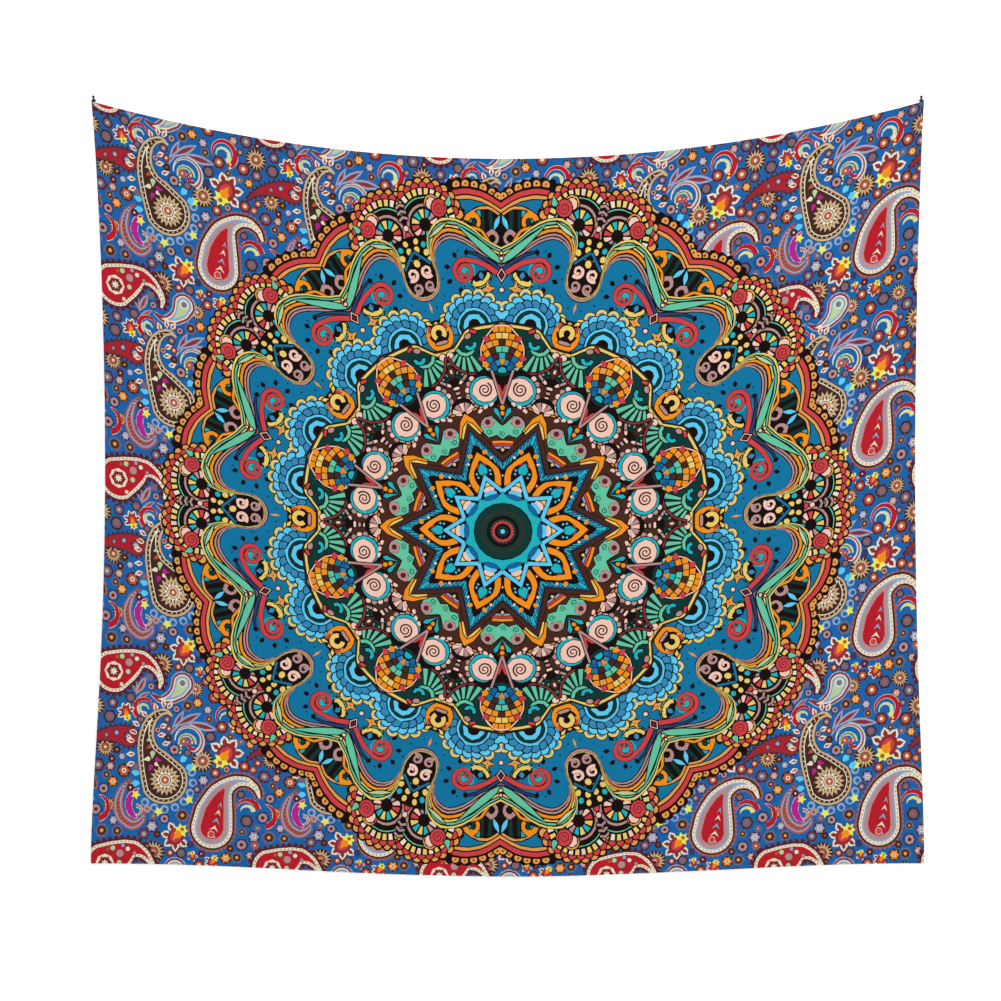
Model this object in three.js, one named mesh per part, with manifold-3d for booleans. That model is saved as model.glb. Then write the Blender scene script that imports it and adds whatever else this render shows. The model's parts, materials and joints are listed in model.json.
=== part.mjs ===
// Printed cloth wall hanging, held by a slanted push pin through each top corner.
// Lengths are millimetres. +X is right, +Z is up, and the printed face looks along -Y.
// The origin is on the wall's surface, midway between the two places where the needles enter it.

import * as THREE from 'three';
import * as BufferGeometryUtils from 'three/addons/utils/BufferGeometryUtils.js';
import Module from 'manifold-3d';

// The hung cloth, cut 1500 wide and 1300 long before it was hung.
const HUNG_WIDTH = 1457;
const HUNG_SIDE = 1333;
const TOP_SAG = 101;
const BOTTOM_BOW = 23;
const LEFT_PINCH = 25;
const RIGHT_PINCH = 16;
const CORNER_RISE = 6;

// The layers, counted forwards from the wall.
const HEM_WIDTH = 14;
const HEM_THICKNESS = 0.9;
const PANEL_THICKNESS = 0.6;
const THREAD_THICKNESS = 0.4;
const LAYER_GAP = 0.3;
const END_GAP = 0.4;
const THREAD_INSET = 11;

// The push pins. Along a pin's own axis, zero is where the needle enters the wall.
const PIN_X = 724;
const PIN_TILT = 50;
const RIGHT_PIN_LEAN = -6;
const NEEDLE_RADIUS = 0.55;
const NEEDLE_DEPTH = 8;
const NEEDLE_POINT = 2.5;
const GRIP_START = 8.2;
const GRIP_LENGTH = 10.5;
const BORE_DEPTH = 6;
const FLANGE_RADIUS = 4.1;
const FLANGE_THICKNESS = 1.2;
const WAIST_RADIUS = 1.75;
const HEAD_RADIUS = 2.3;
const NEEDLE_CLEARANCE = 0.35;

const wasm = await Module();
wasm.setup();

const printedCloth = new THREE.MeshStandardMaterial({ color: 0x2a6d96, roughness: 0.9 });
const hemCloth = new THREE.MeshStandardMaterial({ color: 0x6d4a52, roughness: 0.9 });
const thread = new THREE.MeshStandardMaterial({ color: 0x1c2f4c, roughness: 0.7 });
const steel = new THREE.MeshStandardMaterial({ color: 0xb9bcc0, roughness: 0.3, metalness: 1 });
const blackPlastic = new THREE.MeshStandardMaterial({ color: 0x0b0b0c, roughness: 0.35 });

// A point of the hung cloth. across runs from -1 at the left edge to 1 at the right edge, and
// down from 0 at the top edge to 1 at the bottom edge. The top edge hangs in a parabola, the
// bottom edge bows in a smooth hump, and the sides pull in between the corners.
function hungPoint(across, down) {
  const pinch = (4 * down * (1 - down)) ** 0.9 * (1 - down ** 6);
  const left = -HUNG_WIDTH / 2 + LEFT_PINCH * pinch;
  const right = HUNG_WIDTH / 2 - RIGHT_PINCH * pinch;
  const topDrop = TOP_SAG * (1 - across ** 2) * (1 - down ** 2);
  const bottomDrop = BOTTOM_BOW * Math.cos((across * Math.PI) / 2) ** 2 * down ** 2;
  const x = left + ((right - left) * (across + 1)) / 2;
  return new THREE.Vector2(x, CORNER_RISE - HUNG_SIDE * down - topDrop - bottomDrop);
}

// Insets from the cloth's edges, as shares of its width and of its length.
const acrossShare = (inset) => (2 * inset) / HUNG_WIDTH;
const downShare = (inset) => inset / HUNG_SIDE;

// The outline of a patch of the hung cloth, walked once round its four sides.
function patchOutline([left, right], [top, bottom]) {
  const { lerp } = THREE.MathUtils;
  const stepsAcross = Math.max(1, Math.round((right - left) * 24));
  const stepsDown = Math.max(1, Math.round((bottom - top) * 32));
  const outline = [];
  for (let i = 0; i < stepsAcross; i += 1) {
    outline.push(hungPoint(lerp(left, right, i / stepsAcross), top));
  }
  for (let i = 0; i < stepsDown; i += 1) {
    outline.push(hungPoint(right, lerp(top, bottom, i / stepsDown)));
  }
  for (let i = 0; i < stepsAcross; i += 1) {
    outline.push(hungPoint(lerp(right, left, i / stepsAcross), bottom));
  }
  for (let i = 0; i < stepsDown; i += 1) {
    outline.push(hungPoint(left, lerp(bottom, top, i / stepsDown)));
  }
  return outline;
}

// A flat layer of cloth or thread whose back face is at y = back and which is thick towards -Y.
function layer(across, down, back, thickness) {
  const shape = new THREE.Shape(patchOutline(across, down));
  const geometry = new THREE.ExtrudeGeometry(shape, { depth: thickness, bevelEnabled: false });
  geometry.rotateX(Math.PI / 2);
  geometry.translate(0, back, 0);
  return geometry;
}

function toSolid(geometry) {
  const bare = geometry.clone();
  bare.deleteAttribute('normal');
  bare.deleteAttribute('uv');
  const merged = BufferGeometryUtils.mergeVertices(bare);
  const vertProperties = new Float32Array(merged.attributes.position.array);
  const triVerts = new Uint32Array(merged.index.array);
  return new wasm.Manifold(new wasm.Mesh({ numProp: 3, vertProperties, triVerts }));
}

function toGeometry(solid) {
  const { vertProperties, triVerts } = solid.getMesh();
  const geometry = new THREE.BufferGeometry();
  geometry.setAttribute('position', new THREE.BufferAttribute(vertProperties, 3));
  geometry.setIndex(new THREE.BufferAttribute(triVerts, 1));
  geometry.computeVertexNormals();
  return geometry;
}

function named(name, geometry, material) {
  const mesh = new THREE.Mesh(geometry, material);
  mesh.name = name;
  return mesh;
}

// A pin's frame: its own +Z leans up and away from the wall, and then a little to one side.
function pinFrame(side, leanDegrees) {
  const lean = new THREE.Group();
  lean.position.x = side * PIN_X;
  lean.rotation.y = THREE.MathUtils.degToRad(leanDegrees);
  const tilt = new THREE.Group();
  tilt.rotation.x = THREE.MathUtils.degToRad(90 - PIN_TILT);
  lean.add(tilt);
  lean.updateMatrixWorld(true);
  return { lean, tilt };
}

// The passage that a needle opens through the layers, as a cylinder along the pin's axis.
function needlePassage({ tilt }) {
  const passage = new THREE.CylinderGeometry(
    NEEDLE_RADIUS + NEEDLE_CLEARANCE,
    NEEDLE_RADIUS + NEEDLE_CLEARANCE,
    2 * GRIP_START,
    20,
  );
  passage.rotateX(Math.PI / 2);
  passage.applyMatrix4(tilt.matrixWorld);
  return toSolid(passage);
}

function pierced(geometry, passages) {
  let solid = toSolid(geometry);
  for (const passage of passages) {
    solid = solid.subtract(passage);
  }
  return toGeometry(solid);
}

// A steel needle: a long point, then a plain shank that ends inside the grip's bore.
function needle() {
  const end = GRIP_START + BORE_DEPTH - LAYER_GAP;
  const profile = [
    new THREE.Vector2(0, -NEEDLE_DEPTH),
    new THREE.Vector2(NEEDLE_RADIUS, -NEEDLE_DEPTH + NEEDLE_POINT),
    new THREE.Vector2(NEEDLE_RADIUS, end),
    new THREE.Vector2(0, end),
  ];
  return new THREE.LatheGeometry(profile, 16);
}

// A moulded grip: a flange, a waist for the fingers and a rounded head, bored for the needle.
function grip() {
  const boreRadius = NEEDLE_RADIUS + LAYER_GAP;
  const top = GRIP_START + GRIP_LENGTH;
  const profile = [
    new THREE.Vector2(0, GRIP_START + BORE_DEPTH),
    new THREE.Vector2(boreRadius, GRIP_START + BORE_DEPTH),
    new THREE.Vector2(boreRadius, GRIP_START),
    new THREE.Vector2(FLANGE_RADIUS - 0.3, GRIP_START),
    new THREE.Vector2(FLANGE_RADIUS, GRIP_START + 0.3),
    new THREE.Vector2(FLANGE_RADIUS, GRIP_START + FLANGE_THICKNESS - 0.3),
    new THREE.Vector2(FLANGE_RADIUS - 0.4, GRIP_START + FLANGE_THICKNESS),
    new THREE.Vector2(WAIST_RADIUS + 0.5, GRIP_START + FLANGE_THICKNESS + 0.5),
    new THREE.Vector2(WAIST_RADIUS, GRIP_START + FLANGE_THICKNESS + 1.6),
    new THREE.Vector2(WAIST_RADIUS, top - 4.6),
    new THREE.Vector2(HEAD_RADIUS, top - 2.6),
    new THREE.Vector2(HEAD_RADIUS, top - 0.9),
    new THREE.Vector2(HEAD_RADIUS - 0.9, top),
    new THREE.Vector2(0, top),
  ];
  return new THREE.LatheGeometry(profile, 24);
}

// Lathe geometry turns about its own Y axis, so a pin's pieces are stood up along +Z.
function standing(geometry) {
  return geometry.rotateX(Math.PI / 2);
}

const pins = {
  left: pinFrame(-1, 0),
  right: pinFrame(1, RIGHT_PIN_LEAN),
};
const passages = { left: needlePassage(pins.left), right: needlePassage(pins.right) };

const hanging = new THREE.Group();

const panelBack = -HEM_THICKNESS - LAYER_GAP;
const panel = layer([-1, 1], [0, 1], panelBack, PANEL_THICKNESS);
hanging.add(
  named('printed_panel', pierced(panel, [passages.left, passages.right]), printedCloth),
);

// The edges, turned to the back. The side hems run the full height and take the needles.
const hemAcross = acrossShare(HEM_WIDTH);
const hemDown = downShare(HEM_WIDTH);
const between = [-1 + hemAcross + acrossShare(END_GAP), 1 - hemAcross - acrossShare(END_GAP)];
const leftHem = layer([-1, -1 + hemAcross], [0, 1], 0, HEM_THICKNESS);
const rightHem = layer([1 - hemAcross, 1], [0, 1], 0, HEM_THICKNESS);
const topHem = layer(between, [0, hemDown], 0, HEM_THICKNESS);
const bottomHem = layer(between, [1 - hemDown, 1], 0, HEM_THICKNESS);
hanging.add(named('left_hem', pierced(leftHem, [passages.left]), hemCloth));
hanging.add(named('right_hem', pierced(rightHem, [passages.right]), hemCloth));
hanging.add(named('top_hem', topHem, hemCloth));
hanging.add(named('bottom_hem', bottomHem, hemCloth));

// One run of hem stitching along each edge, on the printed face.
const threadBack = panelBack - PANEL_THICKNESS - LAYER_GAP;
const rowAcross = acrossShare(THREAD_INSET);
const rowDown = downShare(THREAD_INSET);
const threadAcross = acrossShare(THREAD_THICKNESS);
const threadDown = downShare(THREAD_THICKNESS);
const rowEnd = 1 - rowAcross - threadAcross - acrossShare(END_GAP);
const threadRows = {
  left_hem_thread: [[-1 + rowAcross, -1 + rowAcross + threadAcross], [rowDown, 1 - rowDown]],
  right_hem_thread: [[1 - rowAcross - threadAcross, 1 - rowAcross], [rowDown, 1 - rowDown]],
  top_hem_thread: [[-rowEnd, rowEnd], [rowDown, rowDown + threadDown]],
  bottom_hem_thread: [[-rowEnd, rowEnd], [1 - rowDown - threadDown, 1 - rowDown]],
};
for (const [name, [across, down]] of Object.entries(threadRows)) {
  hanging.add(named(name, layer(across, down, threadBack, THREAD_THICKNESS), thread));
}

for (const [side, { lean, tilt }] of Object.entries(pins)) {
  tilt.add(named(`${side}_pin_needle`, standing(needle()), steel));
  tilt.add(named(`${side}_pin_grip`, standing(grip()), blackPlastic));
  hanging.add(lean);
}

export default hanging;
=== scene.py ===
# %% [markdown]
# # A printed cloth wall hanging
# The object is one thin printed cloth, hemmed on four sides and held to a wall by a push pin
# through each top corner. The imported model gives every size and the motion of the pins, and
# this script makes what is seen: the cloth with its print, the hems, the stitches and the pins.
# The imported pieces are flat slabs, so nearly all of them are replaced by finer ones.

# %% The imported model
import json
from itertools import chain

import bpy
import numpy as np
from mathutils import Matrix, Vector
from mathutils.bvhtree import BVHTree
from mathutils.geometry import delaunay_2d_cdt


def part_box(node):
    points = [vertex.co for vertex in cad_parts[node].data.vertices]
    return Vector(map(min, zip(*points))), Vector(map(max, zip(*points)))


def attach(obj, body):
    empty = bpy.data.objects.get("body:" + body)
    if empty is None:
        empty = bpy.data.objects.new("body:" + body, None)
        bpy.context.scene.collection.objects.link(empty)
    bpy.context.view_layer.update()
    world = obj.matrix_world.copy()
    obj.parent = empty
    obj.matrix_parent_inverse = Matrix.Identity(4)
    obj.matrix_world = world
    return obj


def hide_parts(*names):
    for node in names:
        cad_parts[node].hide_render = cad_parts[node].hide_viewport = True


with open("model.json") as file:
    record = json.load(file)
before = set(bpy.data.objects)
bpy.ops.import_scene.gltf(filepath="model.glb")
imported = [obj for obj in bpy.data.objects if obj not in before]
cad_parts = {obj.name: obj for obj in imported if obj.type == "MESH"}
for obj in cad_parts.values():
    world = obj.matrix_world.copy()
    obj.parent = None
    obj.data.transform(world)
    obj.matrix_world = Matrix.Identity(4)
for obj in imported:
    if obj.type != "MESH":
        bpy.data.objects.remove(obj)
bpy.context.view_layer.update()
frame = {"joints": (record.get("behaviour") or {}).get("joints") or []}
panel_low, panel_high = (np.array(corner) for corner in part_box("printed_panel"))

# %% [markdown]
# ## The camera
# A long lens far away keeps the cloth's edges nearly parallel. The camera looks straight at the
# wall, so it needs no shift: it only stands a little to one side of the cloth's centre line.

# %% The camera
VIEW_WIDTH = 1.752
VIEW_DISTANCE = 6.0
VIEW_CENTRE = (-0.0126, -0.6926)
SENSOR_WIDTH = 36.0


def make_camera():
    """A camera whose lens takes in VIEW_WIDTH metres of wall from VIEW_DISTANCE metres away."""
    camera = bpy.data.objects.new("camera", bpy.data.cameras.new("camera"))
    camera.data.sensor_width = SENSOR_WIDTH
    camera.data.lens = SENSOR_WIDTH * VIEW_DISTANCE / VIEW_WIDTH
    camera.data.clip_end = 60.0
    camera.location = (VIEW_CENTRE[0], -VIEW_DISTANCE, VIEW_CENTRE[1])
    camera.rotation_euler = (np.pi / 2, 0, 0)
    bpy.context.scene.collection.objects.link(camera)
    bpy.context.scene.camera = camera
    return camera


print("lens:", round(make_camera().data.lens, 1), "mm")

# %% [markdown]
# ## The pen
# The print is drawn the way a screen printer works: flat inks, one over another, each shape with
# a dark line round it. A point is a complex number in millimetres on the flat cloth, so turning a
# shape is one multiplication, and its mirror image is its conjugate. Shapes are whole arrays that
# come from short formulas: arcs, leaves, spirals, and ribbons carried along a path.
# An image texture would be the usual way to print a cloth. Drawn shapes stay sharp at any
# distance and need no file, so the print is cut into the cloth's own mesh instead.

# %% The pen
INKS = {
    "line": "150b09",
    "pine": "0d3733",
    "cocoa": "46281f",
    "plum": "5a1f2a",
    "brick": "8c2f35",
    "red": "cd4144",
    "scarlet": "b81c2a",
    "orange": "f2901b",
    "amber": "e39b4e",
    "sand": "cdb088",
    "rust": "b4583a",
    "gold": "ecca68",
    "lemon": "eeea55",
    "cream": "ecdfc4",
    "blush": "f4c7b5",
    "mauve": "b68c88",
    "magenta": "b5228c",
    "jade": "64c4a0",
    "celadon": "b9cf9c",
    "turquoise": "1cb2bd",
    "sky": "5ecaf0",
    "haze": "8fa6c8",
    "slate": "6a6580",
    "azure": "3489b5",
    "royal": "15659c",
    "teal": "0f749f",
    "ground": "1a63a6",
    "indigo": "27406e",
}
LINE = 2.0


def turn(degrees):
    """The complex number that turns a shape by so many degrees."""
    return np.exp(1j * np.radians(degrees))


def arc(centre, radius, start=0.0, end=360.0, steps=None):
    """Points of a circle between two angles, about one every 3 mm unless steps says otherwise."""
    steps = steps or int(np.clip(abs(np.radians(end - start)) * radius / 3, 5, 60))
    return centre + radius * turn(np.linspace(start, end, steps + 1))


def disc(centre, radius, steps=None):
    """A closed circle."""
    return arc(centre, radius, steps=steps or int(np.clip(radius * 1.6, 8, 64)))[:-1]


def oval(centre, length, width, angle=0.0, steps=16):
    """A closed ellipse, its long axis at angle."""
    around = np.radians(np.arange(steps) * 360 / steps)
    return centre + (length * np.cos(around) + 1j * width * np.sin(around)) / 2 * turn(angle)


def leaf(base, tip, width, belly=0.5, steps=7):
    """A leaf from base to tip. Its half-width is a sine whose crest stands at the share belly."""
    along = (1 - np.cos(np.linspace(0, np.pi, steps + 1))) / 2
    half = np.sin(np.pi * along ** (np.log(0.5) / np.log(belly))) * width / 2
    spine = base + (tip - base) * along
    side = 1j * (tip - base) / abs(tip - base) * half
    return np.concatenate([spine - side, (spine + side)[-2:0:-1]])


def drop(centre, radius, tip, steps=14):
    """A teardrop: most of a circle, closed by straight sides that meet at tip."""
    away = (tip - centre) / abs(tip - centre)
    half = np.degrees(np.arccos(min(0.95, radius / abs(tip - centre))))
    round_end = arc(centre, radius, half, 360 - half, steps) - centre
    return np.concatenate([centre + round_end * away, [tip]])


def ribbon(path, width):
    """A band carried along a path: the path moved half a width to each side along its normal."""
    tangent = np.gradient(path)
    side = 1j * tangent / np.maximum(abs(tangent), 1e-6) * np.asarray(width) / 2
    return np.concatenate([path + side, (path - side)[::-1]])


def smooth(knots, steps=6):
    """A Catmull-Rom curve: a cubic through the knots, each tangent half its neighbours' step."""
    knots = np.asarray(knots, complex)
    padded = np.concatenate([[2 * knots[0] - knots[1]], knots, [2 * knots[-1] - knots[-2]]])
    before, start, end, after = padded[:-3], padded[1:-2], padded[2:-1], padded[3:]
    t = (np.arange(steps) / steps)[None, :]
    cubic = (3 * start - before - 3 * end + after)[:, None] * t**3
    square = (2 * before - 5 * start + 4 * end - after)[:, None] * t**2
    curve = start[:, None] + ((end - before)[:, None] * t + square + cubic) / 2
    return np.append(curve.ravel(), knots[-1])


def spiral(centre, outer, inner, turns, start=0.0):
    """A path that winds in evenly from radius outer to radius inner."""
    steps = max(8, int(abs(turns) * 16))
    share = np.linspace(0, 1, steps)
    return centre + (outer + (inner - outer) * share) * turn(start + 360 * turns * share)


def taper(count, width, tip=0.1, swell=1.0):
    """Widths for a ribbon that starts at width and narrows to a share of it."""
    return width * (tip + (1 - tip) * (1 - np.linspace(0, 1, count)) ** swell)


def signed_area(outline):
    """Half the sum of the cross products of neighbouring points: positive when anticlockwise."""
    return (np.conj(outline) * np.roll(outline, -1)).imag.sum() / 2


def grown(outline, by):
    """The outline moved outwards along its corners' normals, with long mitres cut short."""
    if signed_area(outline) < 0:
        outline = outline[::-1]
    edge = np.roll(outline, -1) - outline
    normal = -1j * edge / np.maximum(abs(edge), 1e-6)
    corner = normal + np.roll(normal, 1)
    return outline + by * corner * 2 / np.maximum(abs(corner) ** 2, 1.2)


class Drawing:
    """Closed shapes with an ink each, the bottom one first."""

    def __init__(self):
        self.shapes = []

    def fill(self, outline, ink):
        outline = np.asarray(outline, complex)
        self.shapes.append((outline if signed_area(outline) > 0 else outline[::-1], ink))

    def shape(self, copies, ink, line=LINE, line_ink="line"):
        """Fills copies of a shape. Their dark lines all lie below the fills."""
        if line:
            for outline in copies:
                self.fill(grown(outline, line), line_ink)
        for outline in copies:
            self.fill(outline, ink)


print("inks:", len(INKS))

# %% [markdown]
# ## The mandala
# The round figure repeats ten times, and each repeat is its own mirror image. So a shape on an
# axis is drawn once and turned ten times, and a shape beside an axis is also mirrored. Every
# measure below is for the one half sector that lies between 0 and 18 degrees: axis A is the
# horizontal one, through a tip of the star, and axis B is the next one, through a notch.
# It is painted from the rim inwards, so that each ring hides the ragged foot of the one outside.

# %% The mandala's symmetry
REPEATS = 10
SECTOR = 360 / REPEATS
AXIS_B = turn(SECTOR / 2)

mandala = Drawing()


def turned(outline):
    """A shape that lies across an axis, in one sector and in the two beside it.

    One sector is cut later and turned ten times, so the other seven copies aren't drawn.
    """
    return [outline * turn(SECTOR * k) for k in (-1, 0, 1)]


def paired(outline):
    """A shape beside an axis, with its mirror image, in the same three sectors."""
    return turned(outline) + turned(np.conj(outline))


def whole_ring(half):
    """The closed curve that follows half from axis A to axis B, mirrors it, and so on round."""
    half = np.asarray(half, complex)
    sector = np.concatenate([half, (np.conj(half)[::-1] * turn(SECTOR))[1:-1]])
    return np.concatenate([sector * turn(SECTOR * k) for k in range(REPEATS)])


def swollen(half, by):
    """A curve pushed away from the mandala's centre."""
    return half * (1 + by / abs(half))


# %% The rim: half wheels beside axis A and a double arch across axis B
WHEEL = 563 + 36j
ARCH = smooth([600 * turn(7), 608 * turn(9), 609 * turn(12), 601 * turn(15), 584 * AXIS_B])
INNER_ARCH = smooth([528 * turn(8.5), 556 * turn(10.2), 575 * turn(12.8), 579 * turn(15.6), 566 * AXIS_B])


def arch_body(course):
    """The area from an arch's course down to a circle well inside it."""
    half = np.concatenate([[480 * turn(5)], course])
    return np.concatenate([half, (np.conj(half)[::-1] * turn(SECTOR))[1:]])


def rim_bead(angle, lift, radius):
    """A bead on the arch's outer edge."""
    place = ARCH[np.argmin(abs(np.angle(ARCH, deg=True) - angle))]
    return disc(place * (1 + lift / abs(place)), radius, 9 if radius > 3 else 6)


for angle in (7.6, 9.4, 11.0, 12.6, 14.1, 15.6, 17.1):
    mandala.shape(paired(rim_bead(angle, 11, 8)), "line", 0)
for angle in (8.4, 10.2, 11.8, 13.3, 14.8, 16.3, 17.7):
    mandala.shape(paired(rim_bead(angle, 7, 6.8)), "amber", 3)
    mandala.shape(paired(rim_bead(angle, 8, 2)), "line", 0)
for push, ink in ((4, "line"), (0, "red"), (-8, "line"), (-10.5, "amber")):
    mandala.shape(turned(arch_body(swollen(ARCH, push))), ink, 0)
mandala.shape(turned(arch_body(swollen(ARCH, -15.5))), "line", 0)
mandala.shape(turned(arch_body(swollen(ARCH, -17.5))), "teal", 0)
mandala.shape(paired(disc(597 * turn(9.2), 2.2)), "line", 0)
mandala.shape(turned(arch_body(INNER_ARCH)), "amber", LINE)
mandala.shape(turned(arch_body(swollen(INNER_ARCH, -4))), "line", 0)

# %% The dark panel under the double arch
for angle in (11.3, 12.9, 14.5, 16.1):
    bar = ribbon(np.array([538, 571]) * turn(angle), [5, 8])
    mandala.shape(paired(bar), "pine", 0)
for angle, foot, head in ((12.1, 556, 568), (13.9, 552, 573)):
    mandala.shape(paired(ribbon(np.array([foot, head]) * turn(angle), 6.5)), "turquoise")
mandala.shape(paired(leaf(541 * turn(16.6), 565 * turn(17.8), 8)), "sky")
for centre, size, ink in ((556 * turn(12.6), 12, "orange"), (528 * turn(16.2), 10, "mauve")):
    hoof = arc(centre, size, -60, 240)
    mandala.shape(paired(ribbon(hoof, taper(len(hoof), size * 0.75, 0.5))), ink)
    mandala.shape(paired(disc(centre + size * turn(SECTOR / 2), size * 0.5)), ink, 0)
vine = smooth([505 * AXIS_B, 520 * turn(15.8), 541 * turn(14.2), 548 * turn(12.2)])
mandala.shape(paired(ribbon(vine, 4)), "orange")
hook = smooth([572 * turn(11), 583 * turn(9.8), 577 * turn(8), 565 * turn(7.2)])
mandala.shape(paired(ribbon(hook, taper(len(hook), 7, 0.5))), "orange")
mandala.shape(paired(leaf(548 * turn(11), 566 * turn(8), 14)), "pine")
mandala.shape(paired(ribbon(smooth([506 * turn(17), 530 * turn(13), 552 * turn(10.5)]), 5)), "brick")

# %% The half wheels
for angle in np.arange(-62, 96, 14):
    mandala.shape(paired(disc(WHEEL + 66 * turn(angle), 7, 9)), "amber", 3)
for angle in np.arange(-55, 90, 14):
    mandala.shape(paired(disc(WHEEL + 60 * turn(angle), 6.5, 9)), "red", 2.2)
mandala.shape(paired(disc(WHEEL, 59)), "line", 0)
for k, angle in enumerate(np.arange(-75, 100, 12)):
    brick = ribbon(WHEEL + np.array([47, 57]) * turn(angle), [6, 7.5])
    mandala.shape(paired(brick), ("gold", "gold", "blush", "gold", "cream")[k % 5])
for radius, ink in ((44, "jade"), (40, "line"), (33, "mauve"), (27, "line")):
    mandala.shape(paired(disc(WHEEL, radius)), ink, LINE)
for k, angle in enumerate(range(0, 360, 30)):
    spoke = ribbon(WHEEL + np.array([11, 24]) * turn(angle), [3.5, 9])
    mandala.shape(paired(spoke), ("gold", "turquoise", "mauve", "blush", "red")[k % 5], 0)
mandala.shape(paired(disc(WHEEL, 9)), "line", 0)
for radius in (600, 590, 580):
    mandala.shape(turned(ribbon(radius + np.array([-8j, 4, 8j]), 4)), "mauve")
mandala.shape(turned(disc(566, 4.5)), "blush")
mandala.shape(turned(disc(554, 5)), "red")
scroll = 585 * turn(6.8)
mandala.shape(paired(disc(595 * turn(5.6), 13)), "amber", 2)
mandala.shape(paired(disc(594 * turn(5.6), 9.5)), "blush")
mandala.shape(paired(disc(scroll, 14)), "red", 2)
mandala.shape(paired(ribbon(spiral(scroll, 11, 1.5, 1.8, 60), 1.6)), "plum", 0)
mandala.shape(paired(drop(590 * turn(8.6), 5, 602 * turn(9))), "jade")

# %% [markdown]
# ## The wave
# The band of coloured stripes lies between an inner and an outer course. A stripe is the area
# between two blends of those courses, so all stripes swell and narrow together.

# %% The wave of stripes and the tongue inside it
INNER_WAVE = smooth(
    [443, 446 + 14j, 458 + 27j, 478 + 33j, 500 + 34j, 519 + 40j, 531 + 55j, 532 + 75j]
    + [518 + 97j, 495 + 117j, 470 + 137j, 482 * AXIS_B],
    4,
)
OUTER_WAVE = smooth(
    [447, 450 + 13j, 461 + 24j, 479 + 29j, 503 + 28j, 533 + 29j, 554 + 44j, 563 + 66j]
    + [556 + 92j, 536 + 116j, 508 + 136j, 512 * AXIS_B],
    4,
)


def between(start, end):
    """The area between two blends of the wave's inner and outer course."""
    low = INNER_WAVE + start * (OUTER_WAVE - INNER_WAVE)
    high = INNER_WAVE + end * (OUTER_WAVE - INNER_WAVE)
    return np.concatenate([low, high[::-1]])


tongue = np.concatenate([INNER_WAVE[:21], [548 + 30j, 552]])
tongue = np.concatenate([tongue, np.conj(tongue)[::-1][1:-1]])
mandala.shape(turned(tongue), "line", 0)
for place, size, ink in ((464 + 12j, 9.5, "mauve"), (489 + 14j, 11, "blush")):
    path = spiral(place, size, 3, 1.3, 140)
    mandala.shape(paired(ribbon(path, taper(len(path), size * 0.6, 0.5))), ink)
for x, y, size, ink in (
    (505, 0, 7, "gold"),
    (515, 10, 5, "celadon"),
    (506, 26, 5.5, "gold"),
    (519, 23, 6, "gold"),
    (527, 7, 6.5, "gold"),
    (533, 22, 5.5, "turquoise"),
    (541, 10, 5.5, "gold"),
):
    outline = oval(x + 1j * y, size * 2, size * 1.7, 20, 7)
    mandala.shape(paired(outline) if y else turned(outline), ink)
mandala.shape(paired(ribbon(np.array([499 + 25j, 525 + 1j]), 4)), "teal")
mandala.shape(paired(between(-0.02, 1.05)), "line", 0)
for start, end, ink in (
    (0.08, 0.2, "mauve"),
    (0.32, 0.48, "orange"),
    (0.57, 0.67, "gold"),
    (0.75, 0.84, "jade"),
    (0.92, 1.02, "gold"),
):
    mandala.shape(paired(between(start, end)), ink, 0)
mandala.shape(paired(leaf(487 * AXIS_B, 548 + 92j, 12, 0.3)), "jade")
mandala.shape(paired(leaf(540 + 34j, 556 + 76j, 6)), "celadon")
mandala.shape(turned(disc(494 * AXIS_B, 3.4)), "blush")
mandala.shape(turned(disc(503 * AXIS_B, 2.6)), "blush")

# %% The teal field
for by, ink in ((0, "mauve"), (-3.4, "line"), (-5.4, "teal")):
    mandala.shape([whole_ring(swollen(INNER_WAVE, by))], ink, 0)
mandala.shape(turned(leaf(416, 436, 4)), "amber", 0.8)
for place in (424 * turn(1.6), 441 * turn(4.2), 451 * turn(9.3), 470 * turn(4.6), 512 * turn(9)):
    mandala.shape(paired(disc(place, 2, 8)), "line", 0)

# %% The red arms that curl up in the teal field
CURL = 476 * turn(9.7)
arm = np.concatenate([smooth([440 + 143j, 460 + 129j, 477 + 110j], 4), spiral(CURL, 21, 5, -1.8, 42)])
shadow_arm = smooth([450 + 147j, 470 + 132j, 489 + 113j, 499 + 96j], 4)
mandala.shape(paired(ribbon(shadow_arm, taper(len(shadow_arm), 6, 0.3))), "indigo")
mandala.shape(paired(disc(CURL, 21)), "turquoise", 0)
mandala.shape(paired(ribbon(arm, np.linspace(9.5, 3.4, len(arm)))), "red", 1.2)
for angle in (-150, -105, -60, -15, 25):
    mandala.shape(paired(leaf(CURL + 26 * turn(angle), CURL + 39 * turn(angle), 9)), "line", 0)
mandala.shape(turned(np.array([454, 466 + 8j, 478, 466 - 8j]) * AXIS_B), "blush")
mandala.shape(turned(np.array([460, 466 + 4j, 472, 466 - 4j]) * AXIS_B), "plum")
moon = 459 * turn(13.4)
mandala.shape(paired(oval(moon, 42, 24, 75)), "jade")
mandala.shape(paired(oval(moon + 1, 37, 19, 75)), "gold")
mandala.shape(paired(oval(moon + 7, 30, 15, 75)), "line", 0)
mandala.shape(paired(leaf(moon + 1j, moon + 14 + 2j, 9)), "azure")
bat = 443 * turn(14.8)
mandala.shape(paired(np.array([b * turn(k * 45 + 10) for k, b in enumerate([14, 5] * 4)]) + bat), "amber")
mandala.shape(paired(disc(bat, 1.8, 8)), "line", 0)
mandala.shape(turned(disc(441 * AXIS_B, 4)), "blush")
print("shapes so far:", len(mandala.shapes))

# %% [markdown]
# ## The scale flowers
# Beside each axis A sits a half flower of scales. Rows of small discs are laid from the outside
# inwards, so each row covers the feet of the one before, as roof tiles do.

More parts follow.
